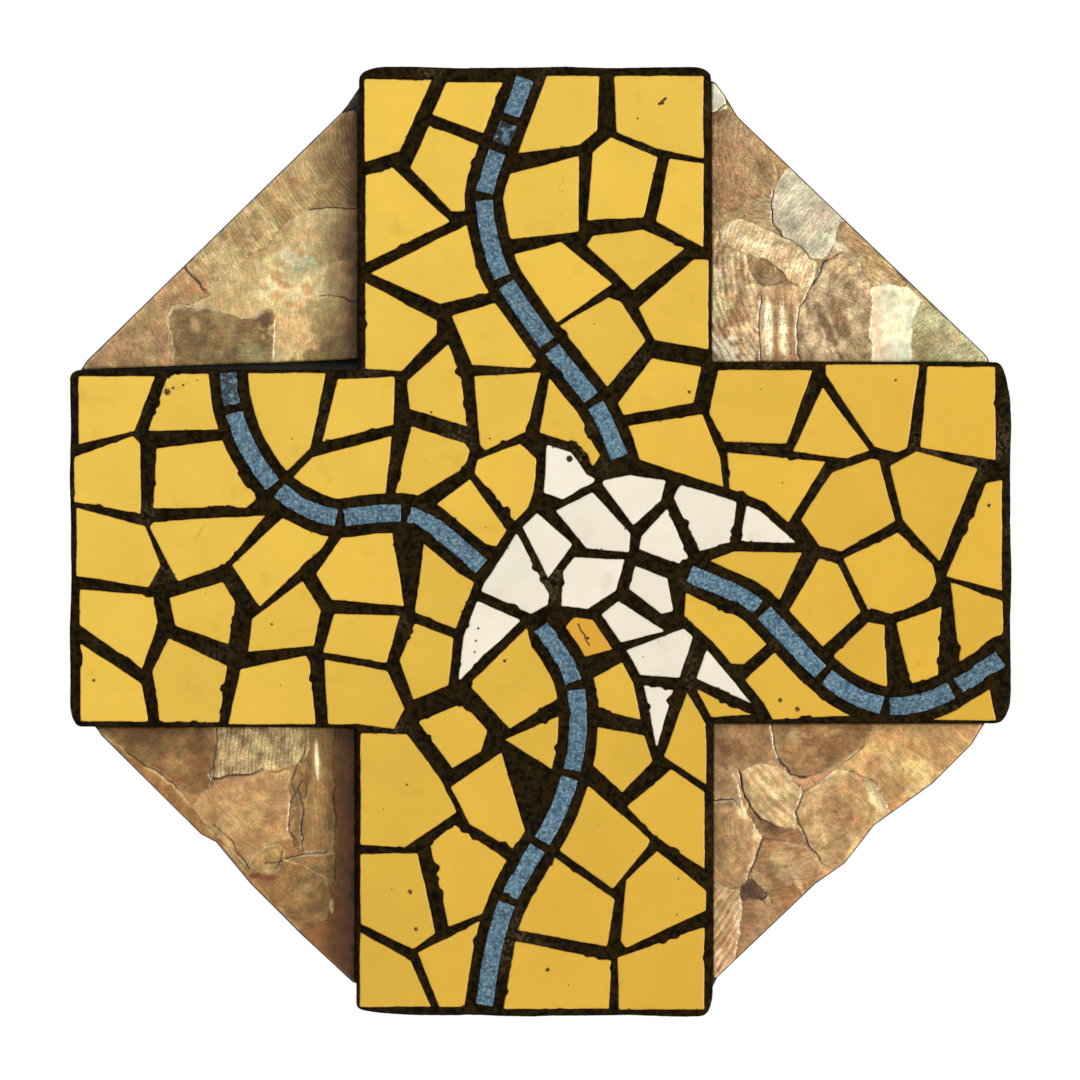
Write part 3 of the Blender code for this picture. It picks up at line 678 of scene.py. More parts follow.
class Growing:
    """A geometry node tree, made in code, that changes or adds to a piece."""

    def __init__(self, name: str) -> None:
        """Starts a tree that has a geometry going in and one coming out."""
        self.tree = bpy.data.node_groups.new(name, "GeometryNodeTree")
        self.tree.interface.new_socket("Geometry", in_out="INPUT", socket_type="NodeSocketGeometry")
        self.tree.interface.new_socket("Geometry", in_out="OUTPUT", socket_type="NodeSocketGeometry")
        self.sizes: dict[str, str] = {}
        self.start = self.tree.nodes.new("NodeGroupInput")

    def size(self, name: str, value: float | int) -> bpy.types.NodeSocket:
        """Adds a named input, whole or fractional like its value, and returns its socket in the tree."""
        kind = "NodeSocketInt" if isinstance(value, int) else "NodeSocketFloat"
        made = self.tree.interface.new_socket(name, in_out="INPUT", socket_type=kind)
        made.default_value = value
        self.sizes[name] = made.identifier
        return self.start.outputs[name]

    def add(self, kind: str, inputs: dict[str | int, object] | None = None,
            **settings: object) -> bpy.types.Node:
        """Adds a node, with its properties and its inputs set or linked."""
        node = self.tree.nodes.new(kind)
        for key, value in settings.items():
            setattr(node, key, value)
        for key, value in (inputs or {}).items():
            if isinstance(value, bpy.types.NodeSocket):
                self.tree.links.new(value, node.inputs[key])
            else:
                node.inputs[key].default_value = value
        return node

    def maths(self, operation: str, first: object, second: object = 0.0) -> bpy.types.NodeSocket:
        """One sum on two values."""
        return self.add("ShaderNodeMath", {0: first, 1: second}, operation=operation).outputs[0]

    def times(self, *values: object) -> bpy.types.NodeSocket:
        """Two or more values multiplied."""
        product, *rest = values
        for value in rest:
            product = self.maths("MULTIPLY", product, value)
        return product

    def read(self, name: str) -> bpy.types.NodeSocket:
        """A value that the mesh's corners carry."""
        return self.add("GeometryNodeInputNamedAttribute", {"Name": name}).outputs["Attribute"]

    def noise(self, size: object, detail: float, seed: object) -> bpy.types.NodeSocket:
        """Noise from 0 to 1 through space, with lumps of a size in metres."""
        node = self.add("ShaderNodeTexNoise", noise_dimensions="4D")
        self.tree.links.new(self.maths("DIVIDE", 1.0, size), node.inputs["Scale"])
        self.tree.links.new(self.maths("MULTIPLY", seed, 3.7), node.inputs["W"])
        node.inputs["Detail"].default_value = detail
        return node.outputs[0]

    def end(self, geometry: bpy.types.NodeSocket, material: bpy.types.Material) -> None:
        """Closes the tree with everything realized and in its material."""
        realized = self.add("GeometryNodeRealizeInstances", {"Geometry": geometry})
        dressed = self.add("GeometryNodeSetMaterial", {"Geometry": realized.outputs[0]})
        dressed.inputs["Material"].default_value = material
        out = self.tree.nodes.new("NodeGroupOutput")
        self.tree.links.new(dressed.outputs[0], out.inputs[0])

    def run(self, obj: bpy.types.Object, **sizes: float | int) -> bpy.types.Object:
        """Runs the tree on an object and leaves it with the plain mesh that comes out.

        Args:
            obj: The piece.
            sizes: Values of named inputs, with _ for a space.

        Returns:
            The same object.
        """
        modifier = obj.modifiers.new(self.tree.name, "NODES")
        modifier.node_group = self.tree
        for key, value in sizes.items():
            modifier[self.sizes[key.replace("_", " ")]] = value
        evaluated = obj.evaluated_get(bpy.context.evaluated_depsgraph_get())
        mesh = bpy.data.meshes.new_from_object(evaluated)
        obj.modifiers.remove(modifier)
        old = obj.data
        obj.data = mesh
        bpy.data.meshes.remove(old)
        mesh.name = obj.name
        return obj


def grout_relief(material: bpy.types.Material) -> Growing:
    """The tree that roughens open grout and beds grains of sand in it."""
    tree = Growing("grout_relief")
    lump = tree.size("Lump Size", 2.6 * MM)
    height = tree.size("Lump Height", 0.30 * MM)
    density = tree.size("Grains per Square Metre", 60000.0)
    radius = tree.size("Grain Radius", 0.20 * MM)
    seed = tree.size("Seed", 1)
    open_share = tree.read("open")
    wave = tree.maths("SUBTRACT", tree.noise(lump, 4.0, seed), 0.5)
    push = tree.times(wave, height, open_share)
    normal = tree.add("GeometryNodeInputNormal").outputs[0]
    offset = tree.add("ShaderNodeVectorMath", {0: normal, "Scale": push}, operation="SCALE").outputs[0]
    rough = tree.add("GeometryNodeSetPosition", {"Geometry": tree.start.outputs[0], "Offset": offset})
    spread = tree.add("GeometryNodeDistributePointsOnFaces",
                      {"Mesh": rough.outputs[0], "Density": density, "Seed": seed,
                       "Selection": tree.maths("GREATER_THAN", open_share, 0.9)})
    grain = tree.add("GeometryNodeMeshIcoSphere", {"Radius": radius, "Subdivisions": 1})
    turn = tree.add("FunctionNodeRandomValue", {"Max": (6.3, 6.3, 6.3), "Seed": seed},
                    data_type="FLOAT_VECTOR")
    scale = tree.add("FunctionNodeRandomValue",
                     {"Min": (0.5, 0.5, 0.4), "Max": (1.4, 1.2, 1.0), "Seed": seed},
                     data_type="FLOAT_VECTOR")
    grains = tree.add("GeometryNodeInstanceOnPoints",
                      {"Points": spread.outputs[0], "Instance": grain.outputs[0],
                       "Rotation": turn.outputs[0], "Scale": scale.outputs[0]})
    loose = tree.add("GeometryNodeRealizeInstances", {"Geometry": grains.outputs[0]})
    marked = tree.add("GeometryNodeStoreNamedAttribute",
                      {"Geometry": loose.outputs[0], "Name": "grain", "Value": 1.0})
    joined = tree.add("GeometryNodeJoinGeometry")
    tree.tree.links.new(rough.outputs[0], joined.inputs[0])
    tree.tree.links.new(marked.outputs[0], joined.inputs[0])
    tree.end(joined.outputs[0], material)
    return tree


def growth_ribs(material: bpy.types.Material) -> Growing:
    """The tree that raises growth ribs across each piece of shell, along the way its corners give."""
    tree = Growing("growth_ribs")
    height = tree.size("Rib Height", 0.09 * MM)
    wander = tree.size("Wander", 0.55)
    breaks = tree.size("Break Size", 3.2 * MM)
    seed = tree.size("Seed", 1)
    along = tree.read("along")
    drift = tree.times(tree.maths("SUBTRACT", tree.noise(breaks, 3.0, seed), 0.5), wander)
    phase = tree.times(tree.maths("ADD", along, drift), math.tau)
    first = tree.maths("SINE", phase)
    second = tree.maths("SINE", tree.times(phase, 0.37))
    wave = tree.maths("ADD", tree.times(first, 0.7), tree.times(second, 0.3))
    broken = tree.noise(tree.times(breaks, 0.6), 3.0, tree.maths("ADD", seed, 9.0))
    strength = tree.times(tree.read("gain"), tree.times(broken, 1.7))
    rib = tree.times(wave, strength)
    kept = tree.add("GeometryNodeStoreNamedAttribute",
                    {"Geometry": tree.start.outputs[0], "Name": "rib", "Value": rib})
    forwards = tree.times(rib, height, -1.0)
    offset = tree.add("ShaderNodeCombineXYZ", {"Y": forwards})
    raised = tree.add("GeometryNodeSetPosition", {"Geometry": kept.outputs[0], "Offset": offset.outputs[0]})
    tree.end(raised.outputs[0], material)
    return tree


@dataclass(frozen=True)
class Mark:
    """A pit or a dark spot in a tile's glaze, or a stain where it is weak."""

    place: Spot
    radius: float
    depth: float = 0.35
    strength: float = 1.0


def streak(line: tuple[Spot, ...], radius: float, depth: float = 0.12, strength: float = 1.0) -> list[Mark]:
    """Marks that touch one another along a line, for a scratch or a crack."""
    places = resampled(np.array(line), radius * 1.2, False)
    return [Mark(tuple(place), radius, depth, strength) for place in places]


@dataclass
class TileCut:
    """How pieces of tile are cut, broken and pitted, in millimetres."""

    step: float = 0.5
    grow: float = 0.1
    wander: float = 0.12
    ragged: float = 0.75
    ragged_from: float = 0.42
    ragged_span: float = 0.35
    most_bite: float = 0.45
    arris: float = 0.30
    rows: tuple[float, ...] = (0.11, 0.3, 0.75)
    grid: float = 1.9
    tilt: float = 0.006
    wave: float = 0.03
    pit_area: float = 1600.0
    pit_radius: Pair = (0.16, 0.34)
    pit_depth: float = 0.2
    pit_share: float = 0.6
    pit_room: float = 0.9
    row_clear: float = 0.8
    grid_clear: float = 1.5
    pit_clear: float = 1.65
    pit_rings: tuple[tuple[float, int], ...] = ((0.0, 1), (0.5, 6), (0.95, 9), (1.4, 11))
    fine_wander: float = 0.055
    marks: list[Mark] = field(default_factory=list)

    def edge(self, loop: np.ndarray, seed: int) -> np.ndarray:
        """A piece's outline: straight where it was scored, and nibbled where it was nipped.

        Args:
            loop: The piece's plain outline.
            seed: Picks which stretches are nipped.

        Returns:
            The finer outline.
        """
        fine = softened(resampled(loop, self.step), 1)
        nipped = smooth(cloud(fine, 15, seed, 2), self.ragged_from, self.ragged_from + self.ragged_span)
        bite = smooth(cloud(fine, 2.6, seed + 1, 2), -0.1, 0.9) * self.ragged * nipped
        bite += self.ragged * 0.9 * nipped * smooth(cloud(fine, 3.6, seed + 2, 1), 0.70, 1.0)
        bite = np.minimum(bite, self.most_bite * room_in(fine, 3.0))
        shift = self.grow + cloud(fine, 7.0, seed + 3, 2) * self.wander - bite
        shift += cloud(fine, 1.5, seed + 4, 2) * self.fine_wander
        return fine + outwards(fine) * shift[:, None]

    def pits(self, edge: np.ndarray, seed: int) -> list[Mark]:
        """The pits in one piece: those named, and a few at random."""
        chance = np.random.default_rng(seed + 77)
        low, high = edge.min(0), edge.max(0)
        found = list(self.marks)
        for _ in range(chance.poisson(float(np.prod(high - low)) / self.pit_area)):
            place = tuple(chance.uniform(low, high))
            found.append(Mark(place, chance.uniform(*self.pit_radius), self.pit_depth))
        places = np.array([m.place for m in found]).reshape(-1, 2)
        within = inside(places, edge) & (distance(places, edge) > self.pit_room) if found else []
        return [mark for mark, keep in zip(found, within) if keep]

    def add(self, sheet: Sheet, edge: np.ndarray, front: float, back: float, seed: int,
            wear: float) -> None:
        """Adds one piece to a sheet.

        Args:
            sheet: The piece that it joins.
            edge: Its fine outline.
            front: Depth of its face.
            back: Depth of its underside.
            seed: Picks its tilt, tone and pits.
            wear: How worn a strip's glaze is, or how orange a yellow tile's, from 0 to 1.
        """
        chance = np.random.default_rng(seed)
        marks = self.pits(edge, seed)
        flat, faces = triangulated(edge, self.spots(edge, marks, seed))
        gap = distance(flat, edge)
        radius = self.arris * (1.0 + 0.5 * np.clip(cloud(flat, 3.0, seed + 5, 2), -0.6, 1.0))
        centre = edge.mean(0)
        lean = chance.uniform(-self.tilt, self.tilt, 2)
        depth = front + (flat - centre) @ lean + cloud(flat, 15, seed + 6, 2) * self.wave
        depth = depth - rounding(gap, radius)
        pit = np.zeros(len(flat))
        for mark in marks:
            near = np.linalg.norm(flat - mark.place, axis=1) / mark.radius
            depth = depth - mark.depth * self.pit_share * smooth(near, 1.1, 0.2)
            pit = np.maximum(pit, smooth(near, 1.4, 0.25) * mark.strength)
        values = {
            "edge": np.minimum(gap, 3.0),
            "tone": np.full(len(flat), chance.uniform(-1, 1)),
            "pit": pit,
            "wear": np.full(len(flat), wear),
        }
        sheet.add_slab(flat, faces, depth, back, values)

    def spots(self, edge: np.ndarray, marks: list[Mark], seed: int) -> np.ndarray:
        """Places for the corners within a piece: rows along its edge, a grid, and rings round its pits."""
        side = outwards(edge)
        rows = [edge - side * row for row in self.rows]
        grid = lattice_in(edge, self.grid, seed)
        spots = np.concatenate(rows + [grid])
        gaps = distance(spots, edge)
        least = np.concatenate([np.full(len(edge), row * self.row_clear) for row in self.rows]
                               + [np.full(len(grid), self.rows[-1] * self.grid_clear)])
        spots = spots[inside(spots, edge) & (gaps >= least)]
        for mark in marks:
            spots = spots[np.linalg.norm(spots - mark.place, axis=1) > mark.radius * self.pit_clear]
        for mark in marks:
            for share, count in self.pit_rings:
                turns = np.arange(count) / count * math.tau + share
                ring = np.stack([np.cos(turns), np.sin(turns)], axis=1) * mark.radius * share
                spots = np.concatenate([spots, ring + mark.place])
        return spots


class Slot(Enum):
    """The material slots, by name."""

    BOARD = "black_board"
    SHELL = "lacquered_shell"
    YELLOW = "yellow_glaze"
    GROUT = "black_grout"
    BLUE = "blue_glaze"
    WHITE = "white_glaze"


def fitted(piece: bpy.types.Object, slot: Slot, *nodes: str) -> None:
    """Fixes a finished piece to the plaque in place of its CAD nodes, and reports it."""
    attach(piece, BODY)
    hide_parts(*nodes)
    LOG.info("%s: %d faces, for %s", piece.name, len(piece.data.polygons), ", ".join(nodes))


@dataclass
class YellowTiles:
    """The yellow crazy paving and the block that it is bedded on."""

    cut: TileCut = field(default_factory=lambda: TileCut(marks=[
        Mark((-118.5, 47.7), 1.2, 0.5), Mark((-116.6, 49.0), 0.5), Mark((-113.4, 49.8), 0.4),
        Mark((38.8, 139.6), 0.75, 0.4), Mark((39.7, 140.6), 0.45), Mark((31.0, 134.6), 0.4),
        Mark((-41.3, -111.2), 0.9, 0.3), Mark((-39.4, -123.0), 0.7, 0.4), Mark((76.3, -50.3), 0.8, 0.5),
        Mark((81.7, -53.2), 0.9, 0.5), Mark((2.4, -136.0), 0.75, 0.4), Mark((-141.8, -44.0), 0.55),
        Mark((-85.3, -26.2), 0.45), Mark((-11.2, -37.8), 0.6), Mark((-42.3, -77.2), 0.4),
        Mark((113.0, 51.4), 0.5), Mark((142.6, 11.6), 0.7), Mark((47.4, 47.6), 0.6),
        Mark((15.2, -30.6), 0.6), Mark((-34.6, 41.2), 0.4),
        *streak(((12.2, -26.2), (12.8, -28.0), (14.2, -29.6), (14.6, -31.4), (15.6, -32.8)), 0.34),
        *streak(((37.9, 139.2), (38.8, 140.0), (39.9, 140.9)), 0.5),
        *streak(((-109.1, 1.3), (-107.8, 3.4), (-106.5, 5.5)), 0.8, 0.0, 0.24),
        *streak(((6.2, 112.0), (7.0, 114.4), (7.4, 116.4)), 0.7, 0.0, 0.2),
        *streak(((-117.0, 48.4), (-114.6, 48.8), (-111.8, 50.6)), 1.1, 0.0, 0.2),
        Mark((-123.6, -9.2), 1.6, 0.0, 0.2), Mark((120.8, -38.8), 1.8, 0.0, 0.2),
    ]))
    arm_from: float = 57.0
    arm_middle: float = 104.0
    orange_place: Spot = (14.0, -30.0)
    clearance: float = 0.05

    def zone(self, loop: np.ndarray) -> str:
        """The part of the cross that a piece lies in."""
        x, z = loop.mean(0)
        if max(abs(x), abs(z)) < self.arm_from:
            return f"centre_{'upper' if z > 0 else 'lower'}_{'right' if x > 0 else 'left'}"
        if abs(z) > abs(x):
            arm, side, far = ("top" if z > 0 else "bottom"), ("right" if x > 0 else "left"), abs(z)
        else:
            arm, side, far = ("right" if x > 0 else "left"), ("upper" if z > 0 else "lower"), abs(x)
        return f"{arm}_{'outer' if far > self.arm_middle else 'inner'}_{side}"

    def build(self, block: bpy.types.Material, glaze: bpy.types.Material) -> list[np.ndarray]:
        """Builds the tiles zone by zone, and the block.

        Args:
            block: The block's material.
            glaze: The tiles' material.

        Returns:
            The outline of each tile.
        """
        front, back = front_of("yellow_tiles"), back_of("yellow_tiles")
        depths = [-v.co.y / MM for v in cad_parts["yellow_tiles"].data.vertices]
        seat = min(depth for depth in depths if depth > back + 1)
        sheets: dict[str, Sheet] = {}
        edges = []
        for seed, loop in enumerate(loops_at("yellow_tiles", front)):
            edge = self.cut.edge(loop, seed * 10)
            edges.append(edge)
            sheet = sheets.setdefault(self.zone(loop), Sheet())
            orange = float(inside(np.array([self.orange_place]), edge)[0])
            self.cut.add(sheet, edge, front, seat + self.clearance, seed * 10, orange)
        for zone, sheet in sorted(sheets.items()):
            fitted(sheet.made(f"yellow_tiles_{zone}", glaze), Slot.YELLOW, "yellow_tiles")
        base = Sheet()
        outline = loops_at("yellow_tiles", back)[0]
        flat, faces = triangulated(outline, np.zeros((0, 2)))
        base.add_slab(flat, faces, np.full(len(flat), seat), back, {"arris": np.zeros(len(flat))})
        fitted(base.made("mosaic_block", block), Slot.YELLOW, "yellow_tiles")
        return edges


@dataclass
class SetPieces:
    """Tiles that are CAD nodes of their own, in one glaze."""

    prefix: str
    slot: Slot
    first_seed: int
    cut: TileCut
    worn: dict[str, float]
    least_wear: float

    def build(self, glaze: bpy.types.Material) -> list[np.ndarray]:
        """Builds the pieces in one finish, and returns the outline of each."""
        edges = []
        names = sorted(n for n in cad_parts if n.startswith(self.prefix))
        for seed, name in enumerate(names, self.first_seed):
            front, back = front_of(name), back_of(name)
            edge = self.cut.edge(loops_at(name, front)[0], seed * 10)
            edges.append(edge)
            sheet = Sheet()
            self.cut.add(sheet, edge, front, back, seed * 10, self.worn.get(name, self.least_wear))
            fitted(sheet.made(f"{name}_tile", glaze), self.slot, name)
        return edges


@dataclass
class Dove(SetPieces):
    """The white dove: fifteen pieces of white tile, with an eye drilled in the head."""

    prefix: str = "white_"
    slot: Slot = Slot.WHITE
    first_seed: int = 200
    cut: TileCut = field(default_factory=lambda: TileCut(
        step=0.45, grow=0.2, ragged=1.0, ragged_from=0.2, grid=1.7, pit_area=1500.0,
        marks=[Mark((9.4, 26.4), 1.0, 0.2, 2.0), Mark((-10.4, -2.5), 0.4), Mark((-19.6, -27.5), 0.5),
               Mark((-20.4, -31.5), 0.45), Mark((-20.8, -35.0), 0.4)]))
    worn: dict[str, float] = field(default_factory=dict)
    least_wear: float = 0.0


@dataclass
class Streams(SetPieces):
    """The four lines of blue strips that run out from the dove."""

    prefix: str = "blue_strip_"
    slot: Slot = Slot.BLUE
    first_seed: int = 400
    cut: TileCut = field(default_factory=lambda: TileCut(
        step=0.45, grow=0.0, wander=0.10, ragged=0.5, ragged_from=0.35, grid=1.4, pit_area=500.0,
        pit_radius=(0.16, 0.3)))
    worn: dict[str, float] = field(default_factory=lambda: {
        "blue_strip_top_6": 1.0, "blue_strip_left_5": 0.8, "blue_strip_right_4": 0.3,
        "blue_strip_right_5": 0.35, "blue_strip_bottom_2": 0.25, "blue_strip_top_5": 0.3,
    })
    least_wear: float = 0.1


@dataclass
class GroutBed:
    """The grout between the pieces and down the sides of the block, in millimetres."""

    step: float = 0.62
    sample: float = 0.3
    coarse: float = 5.0
    rim_step: float = 0.8
    rim_rows: Pair = (0.25, 0.6)
    reach: float = 1.1
    coarse_from: float = 1.5
    open_span: Pair = (-0.9, -0.3)
    under: float = 20.4
    climb: float = 0.40
    climb_reach: float = 0.5
    hollow: float = 0.30
    hollow_reach: Pair = (0.2, 1.8)
    lump: float = 0.14
    lump_size: float = 11.0
    plunge: float = 4.0
    arris: float = 0.9
    wall: float = 1.2
    wall_rows: int = 9
    crease: float = 80.0

    def gap_to(self, flat: np.ndarray, edges: list[np.ndarray]) -> np.ndarray:
        """How far each point lies from the nearest tile, below 0 where it is under one."""
        dense = np.concatenate([resampled(edge, self.sample) for edge in edges])
        tree = KDTree(len(dense))
        for number, (x, z) in enumerate(dense):
            tree.insert((x, z, 0.0), number)
        tree.balance()
        gap = np.array([tree.find((x, z, 0.0))[2] for x, z in flat])
        for edge in edges:
            near = np.flatnonzero(((flat > edge.min(0)) & (flat < edge.max(0))).all(1))
            under = near[inside(flat[near], edge)]
            gap[under] *= -1
        return gap

    def build(self, material: bpy.types.Material, edges: list[np.ndarray]) -> None:
        """Builds the grout round the tiles.

        Args:
            material: The grout's material.
            edges: The outline of every tile.
        """
        front, back = front_of("grout"), back_of("grout")
        outline = softened(resampled(loops_at("grout", back)[0], self.rim_step), 3)
        fine = lattice_in(outline, self.step, 1)
        rough = lattice_in(outline, self.coarse, 2)
        spots = np.concatenate([
            fine[self.gap_to(fine, edges) > -self.reach],
            rough[self.gap_to(rough, edges) < -self.reach * self.coarse_from],
        ])
        rim = [outline - outwards(outline) * row for row in self.rim_rows]
        spots = spots[inside(spots, outline) & (distance(spots, outline) > self.rim_step)]
        flat, faces = triangulated(outline, np.concatenate([spots] + rim))
        gap = self.gap_to(flat, edges)
        depth = front + self.climb * np.exp(-np.maximum(gap, 0) / self.climb_reach)
        depth -= self.hollow * smooth(gap, *self.hollow_reach)
        depth += cloud(flat, self.lump_size, 61, 3) * self.lump
        depth = np.where(gap < 0, np.maximum(depth + gap * self.plunge, self.under), depth)
        depth -= rounding(distance(flat, outline), self.arris)
        sheet = Sheet()
        first = sheet.add_corners(flat, depth, {"open": smooth(gap, *self.open_span)})
        sheet.faces += [tuple(int(i) + first for i in f) for f in faces]
        ring = rims_of(faces)[0]
        self.add_skirt(sheet, flat[ring], [i + first for i in ring], depth[ring], back)
        piece = sheet.made("grout_bed", material, self.crease)
        grout_relief(material).run(piece, Seed=4)
        piece.data.shade_smooth()
        fitted(piece, Slot.GROUT, "grout")

    def add_skirt(self, sheet: Sheet, ring: np.ndarray, top: list[int], depth: np.ndarray,
                  back: float) -> None:
        """Adds the grout's outer sides, its foot, its inner sides and its underside.

        Args:
            sheet: The piece they join.
            ring: Places round the front's edge.
            top: The numbers of the corners there.
            depth: Their depths.
            back: Depth of the foot.
        """
        count = len(ring)
        one, none = np.ones(count), np.zeros(count)
        rows = [top]
        for row in range(1, self.wall_rows + 1):
            share = row / self.wall_rows
            start = sheet.add_corners(ring, depth + (back - depth) * share,
                                      {"open": one if row < self.wall_rows else none})
            rows.append(list(range(start, start + count)))
        inner = ring - outwards(ring) * self.wall
        under = back_of("white_head")
        for level in (back, under):
            start = sheet.add_corners(inner, np.full(count, level), {"open": none})
            rows.append(list(range(start, start + count)))
        for upper, lower in zip(rows, rows[1:]):
            for i in range(count):
                after = (i + 1) % count
                sheet.faces.append((upper[i], lower[i], lower[after], upper[after]))
        sheet.faces.append(tuple(reversed(rows[-1])))


@dataclass
class Board:
    """The black eight-sided board behind everything."""

    arris: float = 0.7
    step: float = 3.0
    rows: tuple[float, ...] = (0.3, 0.7, 2.5)
    worn: Pair = (1.4, 0.2)

    def build(self, paint: bpy.types.Material) -> None:
        """Builds the board with softened arrises."""
        node = "backing_board"
        front, back = front_of(node), back_of(node)
        outline = resampled(loops_at(node, front)[0], self.step)
        rows = [outline - outwards(outline) * row for row in self.rows]
        flat, faces = triangulated(outline, np.concatenate(rows))
        gap = distance(flat, outline)
        sheet = Sheet()
        depth = front - rounding(gap, self.arris)
        sheet.add_slab(flat, faces, depth, back, {"arris": smooth(gap, *self.worn)})
        fitted(sheet.made("painted_board", paint), Slot.BOARD, node)


@dataclass(frozen=True)
class Ribs:
    """Growth ribs: arcs about a hinge point, which look straight where it is far off."""

    hinge: Spot
    pitch: float
    gain: float


@dataclass(frozen=True)
class Bloom:
    """A soft patch of another colour within a panel."""

    centre: Spot
    radii: Pair
    turn: float
    colour: Colour
    share: float
    ragged: float = 0.6

    def reach_to(self, flat: np.ndarray) -> np.ndarray:
        """How far each point lies from the centre, where 1 is on the patch's edge."""
        turn = math.radians(self.turn)
        off = flat - self.centre
        across = (off[:, 0] * math.cos(turn) + off[:, 1] * math.sin(turn)) / self.radii[0]
        upward = (off[:, 1] * math.cos(turn) - off[:, 0] * math.sin(turn)) / self.radii[1]
        return np.hypot(across, upward)


@dataclass(frozen=True)
class Crack:
    """A thin dark line through the lacquer."""

    line: tuple[Spot, ...]
    width: float
    colour: Colour = (58, 36, 18)


@dataclass(frozen=True)
class Nacre:
    """One piece of shell: its outline, its two tones, its ribs and how its edge shows."""

    outline: tuple[Spot, ...]
    tone: Colour
    accent: Colour
    ribs: Ribs
    lump: float = 6.0
    lift: float = 0.12
    seam: float = 0.55
    pale_rim: float = 0.25
    grain: float = 0.30


def up(angle: float, far: float = 900.0, place: Spot = (0.0, 0.0)) -> Spot:
    """A hinge at a distance from a place, in a direction in degrees from +X towards +Z."""
    turn = math.radians(angle)
    return (place[0] + far * math.cos(turn), place[1] + far * math.sin(turn))


# Each panel's pieces of shell. The first is the ground, and each later one lies over those before it.

TOP_LEFT_SHELL = [
    Nacre(((-150, 50), (-50, 50), (-50, 150), (-150, 150)),
          (172, 146, 104), (204, 184, 140), Ribs(up(4), pitch=1.9, gain=0.3), lump=9.0, lift=0.0,
          seam=0.0, pale_rim=0.0, grain=0.22),
    Nacre(((-85, 52), (-82, 56.5), (-77, 62), (-66.5, 66), (-50, 69), (-50, 50)),
          (140, 116, 72), (166, 144, 96), Ribs(up(0), pitch=1.3, gain=0.5), lump=5.0, lift=0.0, seam=0.25,
          pale_rim=0.0),
    Nacre(((-150, 48), (-150, 57), (-114, 88), (-107, 80), (-105, 78.5), (-111.5, 76), (-118.5, 75.5),
           (-119.5, 72), (-118.5, 65.5), (-116.5, 48)),
          (158, 128, 92), (188, 156, 118), Ribs(up(35), pitch=2.4, gain=0.35), lump=3.2, lift=0.1,
          seam=0.6, pale_rim=0.1),
    Nacre(((-118.5, 75.5), (-111, 75), (-105, 75), (-101.5, 73.5), (-95, 71.5), (-91, 72), (-88, 73.5),
           (-85.5, 72), (-85, 69.5), (-85, 50), (-116, 50), (-117.5, 61.5), (-119, 68.5), (-119.5, 73)),
          (112, 90, 58), (146, 124, 84), Ribs(up(90), pitch=2.2, gain=0.3), lump=4.0, lift=0.2, seam=0.55,
          pale_rim=0.75),
    Nacre(((-92, 109.5), (-62.5, 142), (-50, 145), (-50, 105.5), (-65, 106), (-73.5, 106.5), (-80, 103),
           (-84, 99.5), (-84.5, 103.5)),
          (156, 130, 88), (188, 162, 120), Ribs(up(60, 60, (-75, 80)), pitch=1.35, gain=1.0), lump=4.0,
          lift=0.1, seam=0.45, pale_rim=0.2),
    Nacre(((-114, 88), (-92, 109.5), (-84.5, 103.5), (-84, 99.5), (-87.5, 94.5), (-93.5, 90.5), (-98, 87),
           (-102, 85), (-107, 80)),
          (158, 132, 94), (202, 178, 136), Ribs(up(42), pitch=1.25, gain=1.25), lump=3.0, lift=0.22,
          seam=0.8, pale_rim=0.3),
]
TOP_LEFT_BLOOMS = [
    Bloom((-79, 84), (12, 11), 10, (212, 198, 158), 0.75),
    Bloom((-78, 90.5), (4.5, 3), 0, (222, 218, 190), 0.9),
    Bloom((-84, 84), (3.5, 4), 0, (228, 216, 182), 0.9),
    Bloom((-75.5, 79.5), (4, 2.6), 0, (226, 214, 180), 0.8),
    Bloom((-75, 88.5), (3.4, 2.4), 20, (178, 190, 160), 0.8),
    Bloom((-88, 79), (3.5, 2), 0, (226, 208, 172), 0.8),
    Bloom((-83, 89), (2.4, 1.5), 30, (196, 150, 102), 0.7),
    Bloom((-84.5, 84.8), (3, 1.8), -40, (188, 136, 88), 0.75),
    Bloom((-81, 82), (3.6, 1.1), -15, (182, 126, 78), 0.7),
    Bloom((-84.5, 78.4), (2.6, 2), 0, (200, 152, 104), 0.7),
    Bloom((-79.5, 75.6), (3.6, 1.1), -10, (188, 132, 84), 0.7),
    Bloom((-74.5, 81), (1.8, 2), 0, (190, 140, 94), 0.7),
    Bloom((-79, 67), (7.5, 9), 0, (228, 196, 144), 0.9),
    Bloom((-110, 70), (2.4, 2.6), 0, (176, 156, 116), 0.7),
    Bloom((-92, 60), (4.4, 3.4), -30, (152, 148, 112), 0.7),
    Bloom((-106, 61), (3, 3.4), 0, (150, 136, 98), 0.6),
    Bloom((-100, 55), (14, 1.6), 0, (158, 146, 106), 0.6),
    Bloom((-134, 62), (6, 3), 30, (206, 162, 122), 0.5),
    Bloom((-87.5, 71), (3, 2.6), 0, (96, 70, 46), 0.7),
    Bloom((-61, 93), (2.2, 5), -20, (112, 82, 44), 0.6),
    Bloom((-108, 83), (4, 6), 30, (188, 142, 100), 0.5),
    # Two tall brown patches along the arm: painted shadow of the arm, over shell that is a darker brown
    # there.
    Bloom((-57, 125), (6, 22), 0, (118, 80, 34), 0.6),
    Bloom((-57.5, 80), (4, 24), 0, (120, 84, 44), 0.55),
]
